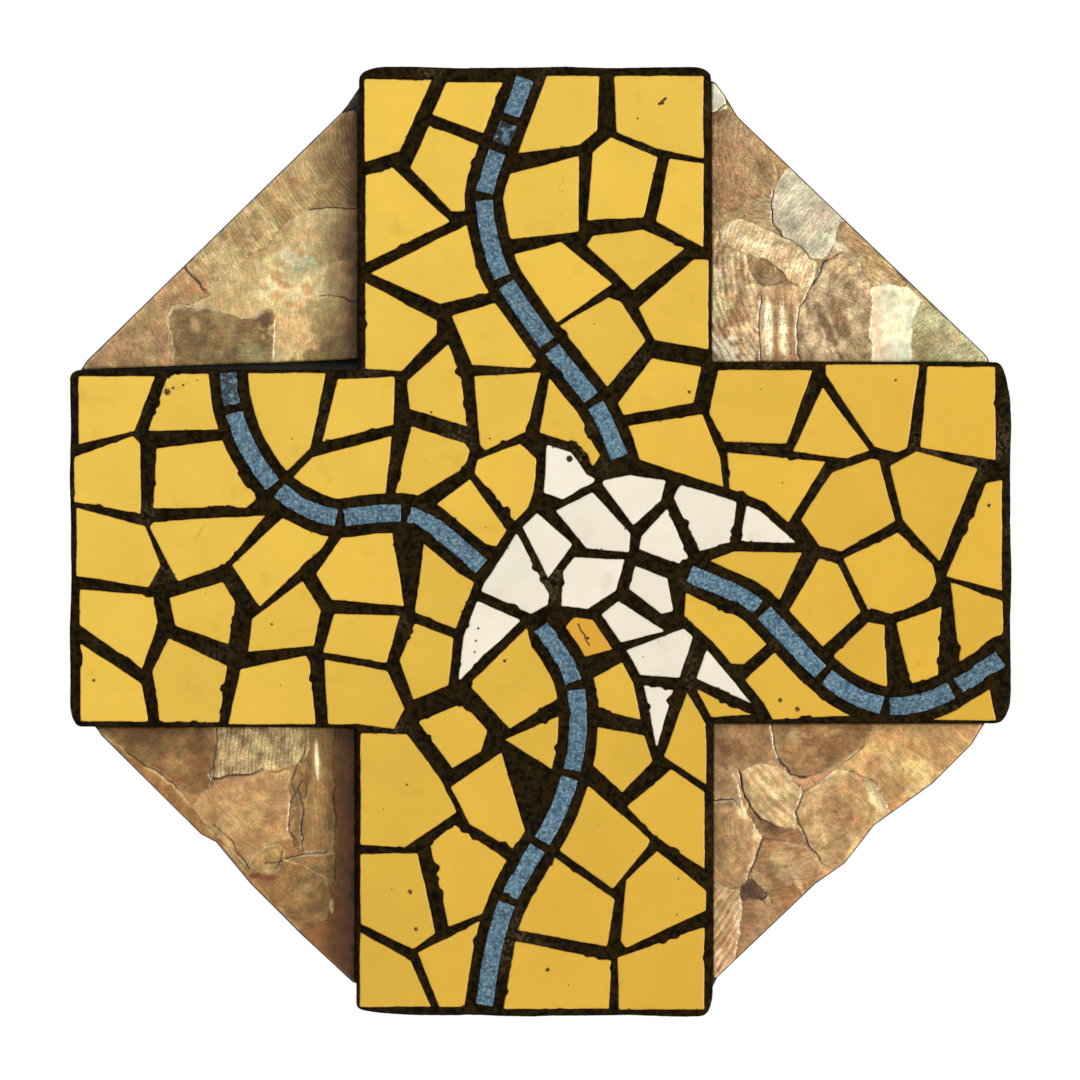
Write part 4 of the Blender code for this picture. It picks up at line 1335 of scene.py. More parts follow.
TOP_LEFT_CRACKS = [
    Crack(((-114, 88), (-110.5, 84.5), (-107, 80)), 0.42),
    Crack(((-107, 80), (-105, 78.4)), 0.2, (188, 134, 92)),
    Crack(((-70.5, 78.5), (-66, 78.2), (-62.5, 78)), 0.25, (96, 56, 28)),
    Crack(((-62.5, 78), (-61, 77), (-56, 77.3)), 0.7),
    Crack(((-73.5, 106.5), (-65, 106), (-56, 105.6)), 0.2),
    Crack(((-84.8, 73), (-84.9, 52)), 0.25, (196, 174, 130)),
    Crack(((-116.4, 56), (-118, 66), (-119.2, 72), (-117.6, 75)), 0.3, (208, 184, 140)),
]

TOP_RIGHT_SHELL = [
    Nacre(((48, 50), (150, 50), (150, 152), (48, 152)),
          (146, 116, 70), (170, 142, 94), Ribs(up(-40), pitch=1.6, gain=0.6), lump=5.0, lift=0.0,
          seam=0.0, pale_rim=0.0),
    Nacre(((48, 135), (59.5, 138.5), (65.5, 132.5), (71, 127), (74.5, 122), (76, 118), (75, 113.5),
           (73.5, 109.5), (69, 107), (65.5, 105.5), (60, 104), (54.5, 101), (48, 100)),
          (146, 112, 76), (176, 142, 102), Ribs(up(20, 30, (62, 118)), pitch=1.7, gain=0.7), lump=3.4,
          lift=0.14, seam=0.35, pale_rim=0.4),
    Nacre(((65.5, 105.5), (73.5, 109.5), (74.5, 104), (77, 97.5), (69, 102)),
          (162, 136, 96), (180, 154, 112), Ribs(up(80), pitch=1.8, gain=0.4), lump=4.0, lift=0.0,
          seam=0.5, pale_rim=0.1),
    Nacre(((91, 90), (96, 98.5), (99.5, 105), (107, 97.5), (118, 86), (111.5, 82.5), (106, 81.5),
           (102.5, 89), (97, 92.5)),
          (158, 126, 82), (196, 164, 120), Ribs(up(55), pitch=1.4, gain=1.1), lump=2.6, lift=0.05,
          seam=0.4, pale_rim=0.2),
    Nacre(((48, 101), (57, 99.5), (58, 96), (61, 93.5), (66, 91.5), (66.5, 87.5), (69.5, 83), (71, 80),
           (70, 69), (70.5, 50), (48, 50)),
          (150, 112, 74), (214, 182, 140), Ribs(up(25, 70, (40, 60)), pitch=1.9, gain=1.7), lump=3.0,
          lift=0.1, seam=0.4, pale_rim=0.1),
    Nacre(((69.5, 83), (76.5, 82.5), (86.5, 81.5), (83.5, 75), (82, 69), (83, 50), (70.5, 50), (70, 69),
           (71, 80)),
          (176, 136, 94), (214, 178, 138), Ribs(up(2), pitch=2.3, gain=0.9), lump=4.0, lift=0.12,
          seam=0.75, pale_rim=0.2),
    Nacre(((91, 90), (97, 92.5), (102.5, 89), (106, 81.5), (106, 71), (106.5, 50), (83, 50), (82, 69),
           (83.5, 75), (87.5, 81.5)),
          (150, 124, 90), (200, 172, 136), Ribs(up(28, 60, (60, 45)), pitch=4.6, gain=0.9), lump=4.0,
          lift=0.16, seam=1.0, pale_rim=0.15),
    Nacre(((66.5, 87.5), (69.5, 90.2), (74, 91), (78, 88), (79.5, 84.5), (76.5, 82.5), (71.5, 82),
           (68, 84.5)),
          (122, 92, 60), (150, 118, 82), Ribs((72, 86.4), pitch=1.3, gain=1.0), lump=2.4, lift=0.0,
          seam=0.5, pale_rim=0.1),
    Nacre(((57, 99.5), (59, 102), (63, 103.5), (69, 102), (77, 97.5), (85, 93.5), (88.5, 89),
           (87.5, 85.5), (86.5, 81.5), (83, 80.5), (79.5, 83), (76.5, 87), (71, 90.5), (66, 91.5),
           (61, 93.5), (58, 96)),
          (184, 152, 112), (226, 202, 162), Ribs(up(-25, 120, (60, 110)), pitch=1.3, gain=1.3), lump=3.0,
          lift=0.3, seam=0.85, pale_rim=0.8),
    Nacre(((80.5, 122), (88, 118), (98.5, 107.5), (101, 103), (96, 101.5), (93.5, 94), (90, 90),
           (86.5, 90.5), (83.5, 94), (77, 97.5), (74.5, 103), (73.5, 108), (74.5, 112.5), (76.5, 115.5)),
          (172, 161, 140), (208, 196, 172), Ribs(up(-30), pitch=1.15, gain=0.8), lump=5.0, lift=0.3,
          seam=0.9, pale_rim=0.8, grain=0.24),
    Nacre(((117.5, 81.5), (146, 58), (142, 50), (119, 50), (118.5, 69), (122, 77)),
          (164, 152, 112), (192, 182, 140), Ribs(up(-45), pitch=1.8, gain=0.35), lump=5.0, lift=0.05,
          seam=0.3, pale_rim=0.3),
    Nacre(((106, 81.5), (111.5, 82.5), (117.5, 81.5), (122, 77), (118.5, 69), (119, 50), (106.5, 50),
           (106, 71)),
          (236, 224, 190), (248, 240, 210), Ribs(up(0), pitch=3.0, gain=0.3), lump=6.0, lift=0.1,
          seam=0.3, pale_rim=0.3, grain=0.10),
    Nacre(((48, 152), (58.5, 152), (60.2, 138.5), (48, 134.5)),
          (246, 240, 208), (250, 246, 222), Ribs(up(0), pitch=3.0, gain=0.15), lump=6.0, lift=0.2,
          seam=0.7, pale_rim=0.3, grain=0.08),
]
TOP_RIGHT_BLOOMS = [
    Bloom((63, 113.5), (5.5, 7), 0, (182, 140, 96), 0.6),
    Bloom((59, 124), (4.5, 5), 0, (172, 130, 86), 0.6),
    Bloom((72, 116), (3.5, 6), 0, (120, 92, 58), 0.5),
    Bloom((55, 77), (3.4, 12), 0, (236, 214, 174), 0.7),
    Bloom((60, 60), (4.5, 7), 15, (248, 234, 204), 0.85),
    Bloom((66, 64), (2.5, 8), 10, (226, 196, 152), 0.7),
    Bloom((73, 68), (1.5, 12), 2, (252, 240, 206), 0.95, 0.15),
    Bloom((77.6, 68), (1.2, 11), 2, (250, 234, 196), 0.95, 0.15),
    Bloom((75.4, 66), (0.8, 12), 2, (150, 108, 68), 0.8, 0.15),
    Bloom((80.5, 66), (1.2, 12), 2, (150, 112, 74), 0.7, 0.2),
    Bloom((87, 66), (1.8, 13), 25, (206, 176, 138), 0.8),
    Bloom((92.5, 66), (1.6, 12), 25, (108, 78, 50), 0.8),
    Bloom((96, 71), (3, 8), 22, (120, 90, 58), 0.75),
    Bloom((100, 61), (2, 9), 22, (190, 158, 120), 0.6),
    Bloom((97, 88), (4.5, 2.4), -20, (212, 180, 138), 0.6),
    Bloom((94, 96), (5, 1.8), -40, (232, 216, 186), 0.9),
    Bloom((108, 70), (1.6, 11), 0, (226, 192, 160), 0.75),
    Bloom((114, 78.4), (5, 3), 0, (206, 198, 166), 0.8),
    Bloom((123, 63), (4.5, 5), 0, (148, 130, 86), 0.7),
    Bloom((127, 71), (4, 5), 30, (190, 182, 142), 0.6),
    Bloom((134, 60), (5, 3), -40, (196, 186, 146), 0.6),
    Bloom((67, 95.5), (5, 1.6), -20, (240, 222, 188), 0.7),
    Bloom((84, 88.5), (2.6, 3), 0, (224, 196, 158), 0.6),
    Bloom((109.5, 83), (2.4, 1.4), 20, (222, 196, 158), 0.7),
    Bloom((116.5, 84.2), (3, 1.2), -42, (88, 58, 28), 0.9),
    Bloom((91, 112), (4, 3), -45, (206, 204, 186), 0.7),
]
TOP_RIGHT_CRACKS = [
    Crack(((91.5, 90), (89, 85.6), (86.5, 81.5)), 0.75, (46, 28, 12)),
    Crack(((86.5, 81.5), (83.5, 75), (82.3, 69), (82.2, 60), (83.2, 52)), 0.3, (88, 52, 30)),
    Crack(((59.8, 149), (59.9, 140), (57, 137.5), (50, 134.8)), 0.3, (60, 48, 26)),
    Crack(((74.2, 112), (73.6, 107), (74.6, 102), (76.8, 97.6)), 0.4),
    Crack(((70.6, 79), (70.2, 69), (70.6, 52)), 0.3),
]

BOTTOM_LEFT_SHELL = [
    Nacre(((-150, -50), (-50, -50), (-50, -150), (-150, -150)),
          (150, 108, 66), (170, 128, 84), Ribs(up(0), pitch=2.6, gain=0.3), lump=6.0, lift=0.0, seam=0.0,
          pale_rim=0.0),
    # A brown strip of shell along the arm, its darkness partly painted shadow of the arm.
    Nacre(((-65.5, -50), (-50, -50), (-50, -150), (-61, -143), (-76.5, -124.5), (-68, -120.5),
           (-66, -113.5), (-65.5, -99)),
          (128, 84, 44), (142, 96, 54), Ribs(up(0), pitch=3.0, gain=0.15), lump=9.0, lift=0.0, seam=0.1,
          pale_rim=0.0, grain=0.1),
    Nacre(((-146, -50), (-106.5, -50), (-106.5, -59.5), (-103.5, -65.5), (-104.5, -71.5), (-106, -74),
           (-105, -78.5), (-108.5, -80.5), (-115.5, -80), (-131.5, -67.5), (-146, -57)),
          (118, 84, 50), (146, 112, 74), Ribs(up(-60), pitch=3.0, gain=0.3), lump=4.0, lift=0.1, seam=0.6,
          pale_rim=0.2),
    Nacre(((-73, -50), (-65.5, -50), (-65.5, -99), (-76, -100), (-75.5, -85), (-75, -78), (-75, -71),
           (-73.5, -66.5)),
          (142, 110, 70), (168, 136, 92), Ribs(up(0), pitch=1.5, gain=0.6), lump=5.0, lift=0.25, seam=0.3,
          pale_rim=0.5),
    Nacre(((-80, -73), (-76.5, -71.5), (-75, -78), (-75.5, -85), (-76, -100), (-78, -97.5), (-80, -92),
           (-78.5, -86), (-79.5, -82.5), (-78, -80), (-79.5, -76.5)),
          (132, 100, 62), (160, 126, 84), Ribs(up(0), pitch=1.4, gain=0.7), lump=3.0, lift=0.0, seam=1.0,
          pale_rim=0.3),
    Nacre(((-105, -78.5), (-102.5, -76), (-94, -74), (-80, -73), (-79.5, -82.5), (-80, -92),
           (-78.5, -95.5), (-84, -95.5), (-89.5, -98), (-93.5, -104), (-102.5, -95.5), (-110.5, -85),
           (-108.5, -80.5)),
          (166, 130, 94), (194, 160, 124), Ribs(up(60, 25, (-95, -92)), pitch=3.4, gain=0.35), lump=4.0,
          lift=0.06, seam=0.35, pale_rim=0.4),
    Nacre(((-106.5, -50), (-73, -50), (-73.5, -66.5), (-76.5, -71.5), (-85, -73), (-94, -74), (-105, -76),
           (-106, -74), (-104.5, -71.5), (-103.5, -65.5)),
          (146, 124, 94), (204, 184, 152), Ribs(up(-8), pitch=1.25, gain=1.9), lump=3.0, lift=0.2,
          seam=0.8, pale_rim=0.3, grain=0.6),
    Nacre(((-93.5, -104), (-88.5, -106.5), (-84.5, -104.5), (-82, -101.5), (-75, -104), (-68, -108),
           (-66, -113.5), (-68, -120.5), (-76.5, -124.5), (-85, -116)),
          (130, 98, 60), (156, 122, 78), Ribs((-78, -106), pitch=2.4, gain=0.4), lump=3.4, lift=0.14,
          seam=0.4, pale_rim=0.6),
    Nacre(((-93.5, -104), (-92, -100.5), (-89.5, -98), (-84, -96), (-80.5, -98), (-82, -101.5),
           (-84.5, -104.5), (-88.5, -106.5)),
          (148, 116, 74), (176, 146, 102), Ribs((-86, -101), pitch=2.0, gain=0.4), lump=3.0, lift=0.2,
          seam=0.5, pale_rim=0.8),
    Nacre(((-82, -101.5), (-76, -100), (-65.5, -99), (-65.5, -108), (-68, -108), (-75, -104)),
          (142, 112, 72), (164, 134, 90), Ribs(up(-70), pitch=1.3, gain=0.5), lump=3.0, lift=0.1,
          seam=0.7, pale_rim=0.5),
    Nacre(((-146, -56), (-131.5, -67.5), (-115.5, -78.5), (-108.5, -87.5), (-101.5, -95.5), (-92, -106),
           (-95, -110), (-108.5, -95), (-128.5, -76), (-150, -62)),
          (138, 98, 58), (168, 126, 80), Ribs(up(-45), pitch=1.8, gain=0.3), lump=3.0, lift=0.2, seam=0.6,
          pale_rim=0.6),
]
BOTTOM_LEFT_BLOOMS = [
    Bloom((-114, -72), (5, 4), -30, (166, 130, 90), 0.55),
    Bloom((-126, -64), (6, 3), -20, (104, 74, 44), 0.5),
    Bloom((-110, -63), (3, 5), 0, (100, 70, 40), 0.5),
    Bloom((-92, -66), (9, 3), 8, (206, 184, 148), 0.4),
    Bloom((-96, -86), (4, 1.2), 40, (196, 160, 116), 0.7),
    Bloom((-89, -88), (4.5, 1.2), 70, (198, 162, 118), 0.7),
    Bloom((-92, -80), (5, 1.2), -15, (196, 158, 112), 0.6),
    Bloom((-86, -93), (4, 1), -30, (198, 162, 118), 0.6),
    Bloom((-104, -88), (4, 1.4), -50, (142, 104, 64), 0.5),
    Bloom((-88.5, -103.2), (3, 2.2), 0, (186, 160, 118), 0.6),
    Bloom((-86.5, -107), (5, 1), 0, (112, 54, 28), 0.75, 0.6),
    Bloom((-91, -106.6), (2, 0.8), 0, (98, 44, 24), 0.8, 0.6),
    Bloom((-76, -111), (3.4, 2.4), 0, (172, 150, 108), 0.6),
    Bloom((-70, -114), (3, 4), 0, (106, 76, 44), 0.6),
    # Two narrow near-white streaks: painted highlights, a light's reflection in the lacquer where it rolls
    # towards the arm.
    Bloom((-71.2, -69.6), (0.8, 6.8), 2.5, (255, 250, 228), 1.0, 0.06),
    Bloom((-66.6, -115.8), (0.62, 3.1), 2, (255, 240, 204), 1.0, 0.1),
    Bloom((-71.6, -86), (0.7, 9), 4, (186, 156, 110), 0.7),
    Bloom((-74, -76), (0.8, 6), -4, (110, 78, 46), 0.7),
    # A dark strip and a brown band along the arm: painted shadow of the arm, over shell that is a darker
    # brown there.
    Bloom((-58, -100), (2.6, 46), 0, (64, 34, 10), 0.8),
    Bloom((-62.5, -80), (3, 30), 0, (134, 92, 52), 0.5),
    Bloom((-72, -127), (6, 3), -45, (150, 104, 62), 0.5),
    Bloom((-77.4, -90), (1.2, 6), 0, (112, 84, 52), 0.6),
]
BOTTOM_LEFT_CRACKS = [
    Crack(((-105, -76), (-99, -74.6), (-94, -74), (-88.5, -72.8)), 0.45),
    Crack(((-131.5, -67.5), (-123, -73), (-115.5, -78.5)), 0.25),
    Crack(((-75, -65.5), (-77.5, -72.5), (-79.5, -76.5), (-78, -80), (-79.5, -82.5), (-80, -92),
           (-77, -96.5)), 0.45),
    Crack(((-76, -76), (-77.6, -79), (-75.8, -84), (-76, -99)), 0.3),
    Crack(((-87.5, -103), (-79.5, -101), (-67.5, -98.5)), 0.3),
    Crack(((-84.6, -104.6), (-82, -98.4)), 0.22),
    Crack(((-82, -101.6), (-75, -104), (-68, -108)), 0.22, (206, 176, 132)),
    Crack(((-104, -90), (-98, -96.4), (-92.5, -104)), 0.25),
    Crack(((-103.5, -59), (-103.2, -65.5), (-104.2, -71.5), (-105, -78)), 0.2),
]

BOTTOM_RIGHT_SHELL = [
    Nacre(((48, -50), (150, -50), (150, -150), (48, -150)),
          (178, 136, 88), (200, 158, 108), Ribs(up(45), pitch=2.0, gain=0.5), lump=5.0, lift=0.0,
          seam=0.0, pale_rim=0.0),
    Nacre(((48, -50), (74, -50), (74, -63), (76.5, -69), (80, -74.5), (76.5, -71.5), (70.5, -70.5),
           (63.5, -73.5), (60.5, -71), (57, -71), (48, -73)),
          (158, 120, 80), (182, 144, 100), Ribs(up(20), pitch=2.6, gain=0.3), lump=5.0, lift=0.1,
          seam=0.5, pale_rim=0.2),
    Nacre(((106.5, -50), (147, -50), (142.5, -63.5), (128, -81), (114.5, -90.5), (110, -82.5),
           (106.5, -77), (101, -73.5), (97, -71), (100.5, -67.5), (105, -63.5)),
          (188, 146, 94), (214, 172, 116), Ribs(up(40, 60, (112, -76)), pitch=2.4, gain=0.45), lump=5.0,
          lift=0.08, seam=0.35, pale_rim=0.3),
    Nacre(((74, -50), (106.5, -50), (105, -63.5), (100.5, -67.5), (97, -71), (90.5, -73.5), (85, -75),
           (80, -74.5), (76.5, -69), (74, -63)),
          (140, 104, 64), (176, 138, 90), Ribs(up(80), pitch=3.0, gain=0.35), lump=6.0, lift=0.26,
          seam=1.0, pale_rim=0.7),
    Nacre(((80, -74.5), (85, -75), (90.5, -73.5), (94.5, -72.5), (89, -76.5), (84, -79.5)),
          (178, 130, 90), (196, 150, 108), Ribs(up(30), pitch=2.0, gain=0.4), lump=3.0, lift=0.0,
          seam=0.5, pale_rim=0.1),
    Nacre(((48, -82.5), (61.5, -82), (66.5, -87.5), (71, -94.5), (69.5, -98.5), (67.5, -103.5),
           (65.5, -108.5), (63, -110.5), (48, -110)),
          (162, 124, 82), (188, 152, 108), Ribs(up(10, 30, (45, -96)), pitch=2.8, gain=0.5), lump=4.5,
          lift=0.2, seam=0.8, pale_rim=1.0),
    Nacre(((48, -73), (57, -71), (60.5, -71), (63.5, -78.5), (66.5, -87.5), (61.5, -82), (48, -82.5)),
          (172, 136, 96), (200, 166, 122), Ribs(up(-50), pitch=1.8, gain=0.7), lump=3.0, lift=0.1,
          seam=0.6, pale_rim=0.5),
    Nacre(((67.5, -83.5), (70.5, -88.5), (76.5, -91), (84, -92), (86, -97), (80, -97), (73, -95),
           (71, -94.5), (66.5, -87.5)),
          (150, 112, 74), (120, 84, 52), Ribs(up(-60), pitch=2.0, gain=0.6), lump=2.6, lift=-0.1,
          seam=0.8, pale_rim=0.1),
    Nacre(((71, -94.5), (73, -95), (77, -95.5), (85, -97), (90.5, -103), (88, -112), (76, -124),
           (73, -113), (67.5, -107), (67.5, -103.5), (69.5, -98.5)),
          (150, 110, 68), (182, 150, 110), Ribs(up(100, 40, (76, -95)), pitch=1.7, gain=0.7), lump=4.0,
          lift=0.16, seam=0.75, pale_rim=0.4),
    Nacre(((81.5, -86.5), (84, -79.5), (89, -76.5), (94.5, -72.5), (101, -73.5), (106.5, -77),
           (110, -82.5), (114.5, -90.5), (100, -106), (90.5, -103), (86, -97), (82.5, -91.5)),
          (170, 134, 90), (204, 172, 124), Ribs((92, -88), pitch=3.6, gain=0.6), lump=5.5, lift=0.3,
          seam=0.9, pale_rim=0.9),
    Nacre(((63.5, -73.5), (70.5, -70.5), (76.5, -71.5), (80, -74.5), (84, -79.5), (81.5, -86.5),
           (82, -91), (76.5, -91), (70.5, -88.5), (67.5, -83.5), (64.5, -78.5)),
          (188, 154, 108), (226, 196, 150), Ribs(up(38), pitch=2.6, gain=1.3), lump=4.0, lift=0.34,
          seam=1.0, pale_rim=0.8),
    Nacre(((63.5, -110.5), (65.5, -108.5), (67.5, -107), (73, -113), (71, -115), (67, -113.5)),
          (104, 70, 40), (84, 54, 28), Ribs(up(0), pitch=2.0, gain=0.4), lump=3.0, lift=-0.15, seam=0.9,
          pale_rim=0.0),
    Nacre(((63.5, -110.5), (67, -113.5), (71, -115), (73, -117), (74.5, -125), (62, -136), (65, -117)),
          (146, 110, 74), (170, 134, 98), Ribs(up(80), pitch=2.0, gain=0.5), lump=4.0, lift=0.0, seam=0.5,
          pale_rim=0.2),
    Nacre(((48, -110), (63.5, -110.5), (65, -117), (62, -136), (48, -150)),
          (196, 154, 108), (236, 204, 160), Ribs(up(-38), pitch=1.9, gain=1.9), lump=3.0, lift=0.2,
          seam=0.5, pale_rim=0.3),
]
BOTTOM_RIGHT_BLOOMS = [
    Bloom((62.5, -66.5), (5.5, 3), 5, (122, 88, 54), 0.8),
    Bloom((82, -61), (5, 3), 0, (206, 176, 124), 0.7),
    Bloom((90, -60), (5, 2), -10, (202, 164, 110), 0.6),
    Bloom((92, -67), (6, 3.6), 20, (124, 90, 52), 0.7),
    # A small pale yellow spot: a painted highlight.
    Bloom((121.5, -72.4), (4.4, 4.2), 0, (248, 216, 152), 0.85),
    Bloom((120, -79), (5, 2.4), 40, (236, 206, 150), 0.7),
    Bloom((113, -70), (3.6, 5), 0, (206, 180, 128), 0.6),
    Bloom((111, -77), (4, 3.2), 0, (150, 122, 76), 0.6),
    Bloom((134, -62), (6, 4), -50, (218, 168, 112), 0.6),
    Bloom((128, -58), (8, 2.6), 0, (214, 176, 124), 0.5),
    Bloom((94.5, -86), (5.5, 6.5), 0, (154, 118, 78), 0.75),
    Bloom((107, -82), (1.8, 6), 32, (240, 220, 172), 0.85),
    Bloom((89, -80), (2, 5), -20, (208, 176, 130), 0.5),
    Bloom((99, -99.5), (4, 1.2), 45, (238, 204, 142), 0.8, 0.7),
    Bloom((94.5, -86.2), (0.5, 0.45), 0, (92, 62, 36), 0.9, 0.1),
    Bloom((74, -79), (6, 1), -38, (240, 214, 168), 0.6),
    Bloom((71, -76.5), (6, 1), -38, (232, 202, 154), 0.6),
    Bloom((76, -84.5), (6, 1), -38, (152, 116, 76), 0.6),
    Bloom((64.5, -86), (1.8, 2.4), 40, (250, 226, 176), 0.9),
    Bloom((69.5, -93.5), (1.6, 3), 20, (242, 214, 164), 0.8),
    Bloom((56, -91), (2.6, 3), 0, (142, 106, 68), 0.6),
    Bloom((58, -86), (5, 1.2), -5, (214, 184, 138), 0.6),
    Bloom((62, -97), (2, 1.6), 0, (136, 100, 64), 0.6),
    Bloom((55, -103), (2.6, 4), 0, (190, 154, 110), 0.6),
    Bloom((75, -92), (3, 1.6), -30, (88, 58, 34), 0.75),
    Bloom((80, -113), (5, 5), -45, (146, 102, 60), 0.7),
    Bloom((78, -101), (4.5, 3), 0, (196, 166, 126), 0.6),
    Bloom((82, -108), (0.9, 5), 30, (222, 190, 146), 0.7),
    Bloom((66, -112), (2.6, 2.6), -30, (78, 48, 24), 0.8),
    Bloom((60, -128), (2.4, 2.4), 0, (158, 112, 70), 0.6),
    Bloom((55, -120), (4, 8), 20, (238, 204, 158), 0.55),
    Bloom((53, -136), (3, 8), -35, (246, 214, 166), 0.7),
]
BOTTOM_RIGHT_CRACKS = [
    Crack(((74, -58), (74, -63), (76.5, -69), (80, -74.5), (85, -75)), 0.5),
    Crack(((84, -79.5), (81.5, -86.5), (86, -97), (90, -101.5)), 0.4),
    Crack(((63.5, -73.5), (64.5, -78.5), (67.5, -83.5), (70.5, -88.5)), 0.6),
    Crack(((53, -82.4), (61.5, -82)), 0.4),
    Crack(((71, -95), (68, -103), (66, -109)), 0.4),
    Crack(((66, -110), (71, -115), (73, -112)), 0.4, (60, 36, 16)),
]


def dyed(tint: np.ndarray, colour: Colour, share: np.ndarray) -> np.ndarray:
    """Tints, one a row, each moved towards a colour by its share."""
    return tint + (np.array(linear(colour)) - tint) * share[:, None]


@dataclass
class ShellPanel:
    """One lacquered panel of shell pieces, in a corner between two arms, in millimetres."""

    corner: str
    pieces: list[Nacre]
    blooms: list[Bloom]
    cracks: list[Crack]
    roll: float = 0.0
    roll_place: float = 0.0
    step: float = 0.45
    wander: float = 0.55
    relief: float = 0.16
    outline_step: float = 0.6
    clear: float = 0.25
    arris: float = 0.3
    rib_share: float = 0.62
    seam_depth: float = 0.14
    seam_width: float = 0.9
    crack_depth: float = 0.18
    roll_width: float = 4.5
    crease: float = 70.0
    rim_share: float = 0.6
    rim_fade: Pair = (1.3, 0.3)
    rim_cream: Colour = (244, 228, 190)
    seam_brown: Colour = (64, 42, 22)
    seam_fade: Pair = (0.42, 0.06)
    bloom_reach: float = 2.2
    bloom_fade: Pair = (1.15, 0.45)
    crack_least: float = 0.12
    crack_fade: Pair = (1.3, 0.4)
    warmth: Triple = (1.0, 1.0, 1.0)
    grain_share: float = 1.0
    # Painted shadow of the raised arm: the arm side's X, how far the shadow reaches, the least share of tint
    # kept, and how much browner it grows.
    painted_shadow_side: float = 0.0
    painted_shadow_reach: float = 9.0
    painted_shadow_least: float = 0.42
    painted_shadow_tint: Triple = (1.0, 1.25, 1.6)

    def waved(self, points: np.ndarray) -> np.ndarray:
        """Points moved a little, the same way for neighbours, so that shared edges stay shared."""
        shift = np.stack([cloud(points, 4.0, 31, 2), cloud(points, 4.0, 47, 2)], axis=1)
        return points + shift * self.wander

    def line_of(self, crack: Crack) -> np.ndarray:
        """A crack's line, waved like the pieces' edges."""
        return self.waved(resampled(np.array(crack.line), self.step, False))

    def colours(self, flat: np.ndarray, owner: np.ndarray, seams: np.ndarray) -> np.ndarray:
        """The tint at each corner.

        Args:
            flat: Places of the corners.
            owner: The number of the piece of shell that each lies on.
            seams: Distance of each from the nearest edge of a piece.

        Returns:
            One linear colour a row.
        """
        tint = np.zeros((len(flat), 4))
        for number, piece in enumerate(self.pieces):
            mine = owner == number
            share = smooth(cloud(flat[mine], piece.lump, 90 + number, 4), -0.7, 0.7)[:, None]
            tint[mine] = np.array(linear(piece.tone)) * (1 - share) + np.array(linear(piece.accent)) * share
            rim = piece.pale_rim * self.rim_share * smooth(seams[mine], *self.rim_fade)
            rim *= smooth(cloud(flat[mine], 5, 11, 2), -0.4, 0.6)
            tint[mine] = dyed(tint[mine], self.rim_cream, rim)
        for number, bloom in enumerate(self.blooms):
            far = bloom.reach_to(flat)
            near = far < self.bloom_reach
            ragged = far[near] + cloud(flat[near], 2.6, 500 + number, 3) * bloom.ragged
            tint[near] = dyed(tint[near], bloom.colour, smooth(ragged, *self.bloom_fade) * bloom.share)
        depth = np.array([piece.seam for piece in self.pieces])[owner]
        dark = depth * smooth(seams, *self.seam_fade) * smooth(cloud(flat, 7, 23, 2), -0.6, 0.35)
        tint = dyed(tint, self.seam_brown, dark)
        for crack in self.cracks:
            near = distance(flat, self.line_of(crack), False)
            width = crack.width * (0.75 + 0.5 * cloud(flat, 3.0, 29, 2))
            share = smooth(near / np.maximum(width, self.crack_least), *self.crack_fade)
            tint = dyed(tint, crack.colour, share)
        # Painted shadow of the raised arm: the tint darkens, and browns as it darkens, towards the arm's
        # side.
        if self.painted_shadow_side:
            near = smooth(np.abs(flat[:, 0] - self.painted_shadow_side), self.painted_shadow_reach, 0.0)
            kept = 1 - (1 - self.painted_shadow_least) * near * near
            tint[:, :3] *= kept[:, None] ** self.painted_shadow_tint
        tint[:, :3] *= self.warmth
        tint[:, 3] = 1.0
        return np.clip(tint, 0.0, 1.0)

    def build(self, material: bpy.types.Material, ribs: Growing) -> None:
        """Builds the panel.

        Args:
            material: The lacquered shell's material.
            ribs: The tree that raises its growth ribs.
        """
        node = f"shell_panel_{self.corner}"
        front, back = front_of(node), back_of(node)
        outline = resampled(loops_at(node, front)[0], self.outline_step)
        lines = [self.waved(resampled(np.array(p.outline, float), self.outline_step)) for p in self.pieces]
        spots = lattice_in(outline, self.step, 7)
        spots = spots[inside(spots, outline) & (distance(spots, outline) > self.clear)]
        flat, faces = triangulated(outline, spots, self.drawn_in(outline, lines))
        owner, seams = self.owners(flat, lines)
        lift, grown = self.growth(flat, owner)
        grown["gain"] *= smooth(seams, 0.05, 0.7)
        depth = front + lift - self.seam_depth * smooth(seams, self.seam_width, 0.0)
        depth -= rounding(distance(flat, outline), self.arris)
        if self.roll:
            depth += self.roll * np.exp(-(((flat[:, 0] - self.roll_place) / self.roll_width) ** 2))
        for crack in self.cracks:
            near = distance(flat, self.line_of(crack), False)
            depth -= self.crack_depth * smooth(near, crack.width * 1.4, 0.0)
        sheet = Sheet()
        sheet.add_slab(flat, faces, depth, back, {"tint": self.colours(flat, owner, seams), **grown})
        piece = sheet.made(f"nacre_panel_{self.corner}", material, self.crease)
        ribs.run(piece, Seed=len(self.pieces))
        fitted(piece, Slot.SHELL, node)

    def drawn_in(self, outline: np.ndarray, lines: list[np.ndarray]) -> list[np.ndarray]:
        """The stretches of the pieces' edges and of the cracks that lie within the panel."""
        drawn = [np.concatenate([line, line[:1]]) for line in lines[1:]]
        drawn += [self.line_of(crack) for crack in self.cracks]
        inner = []
        for line in drawn:
            keep = inside(line, outline) & (distance(line, outline) > self.clear)
            runs = np.split(np.arange(len(line)), np.flatnonzero(np.diff(keep.astype(int))) + 1)
            inner += [line[run] for run in runs if keep[run[0]] and len(run) > 1]
        return inner

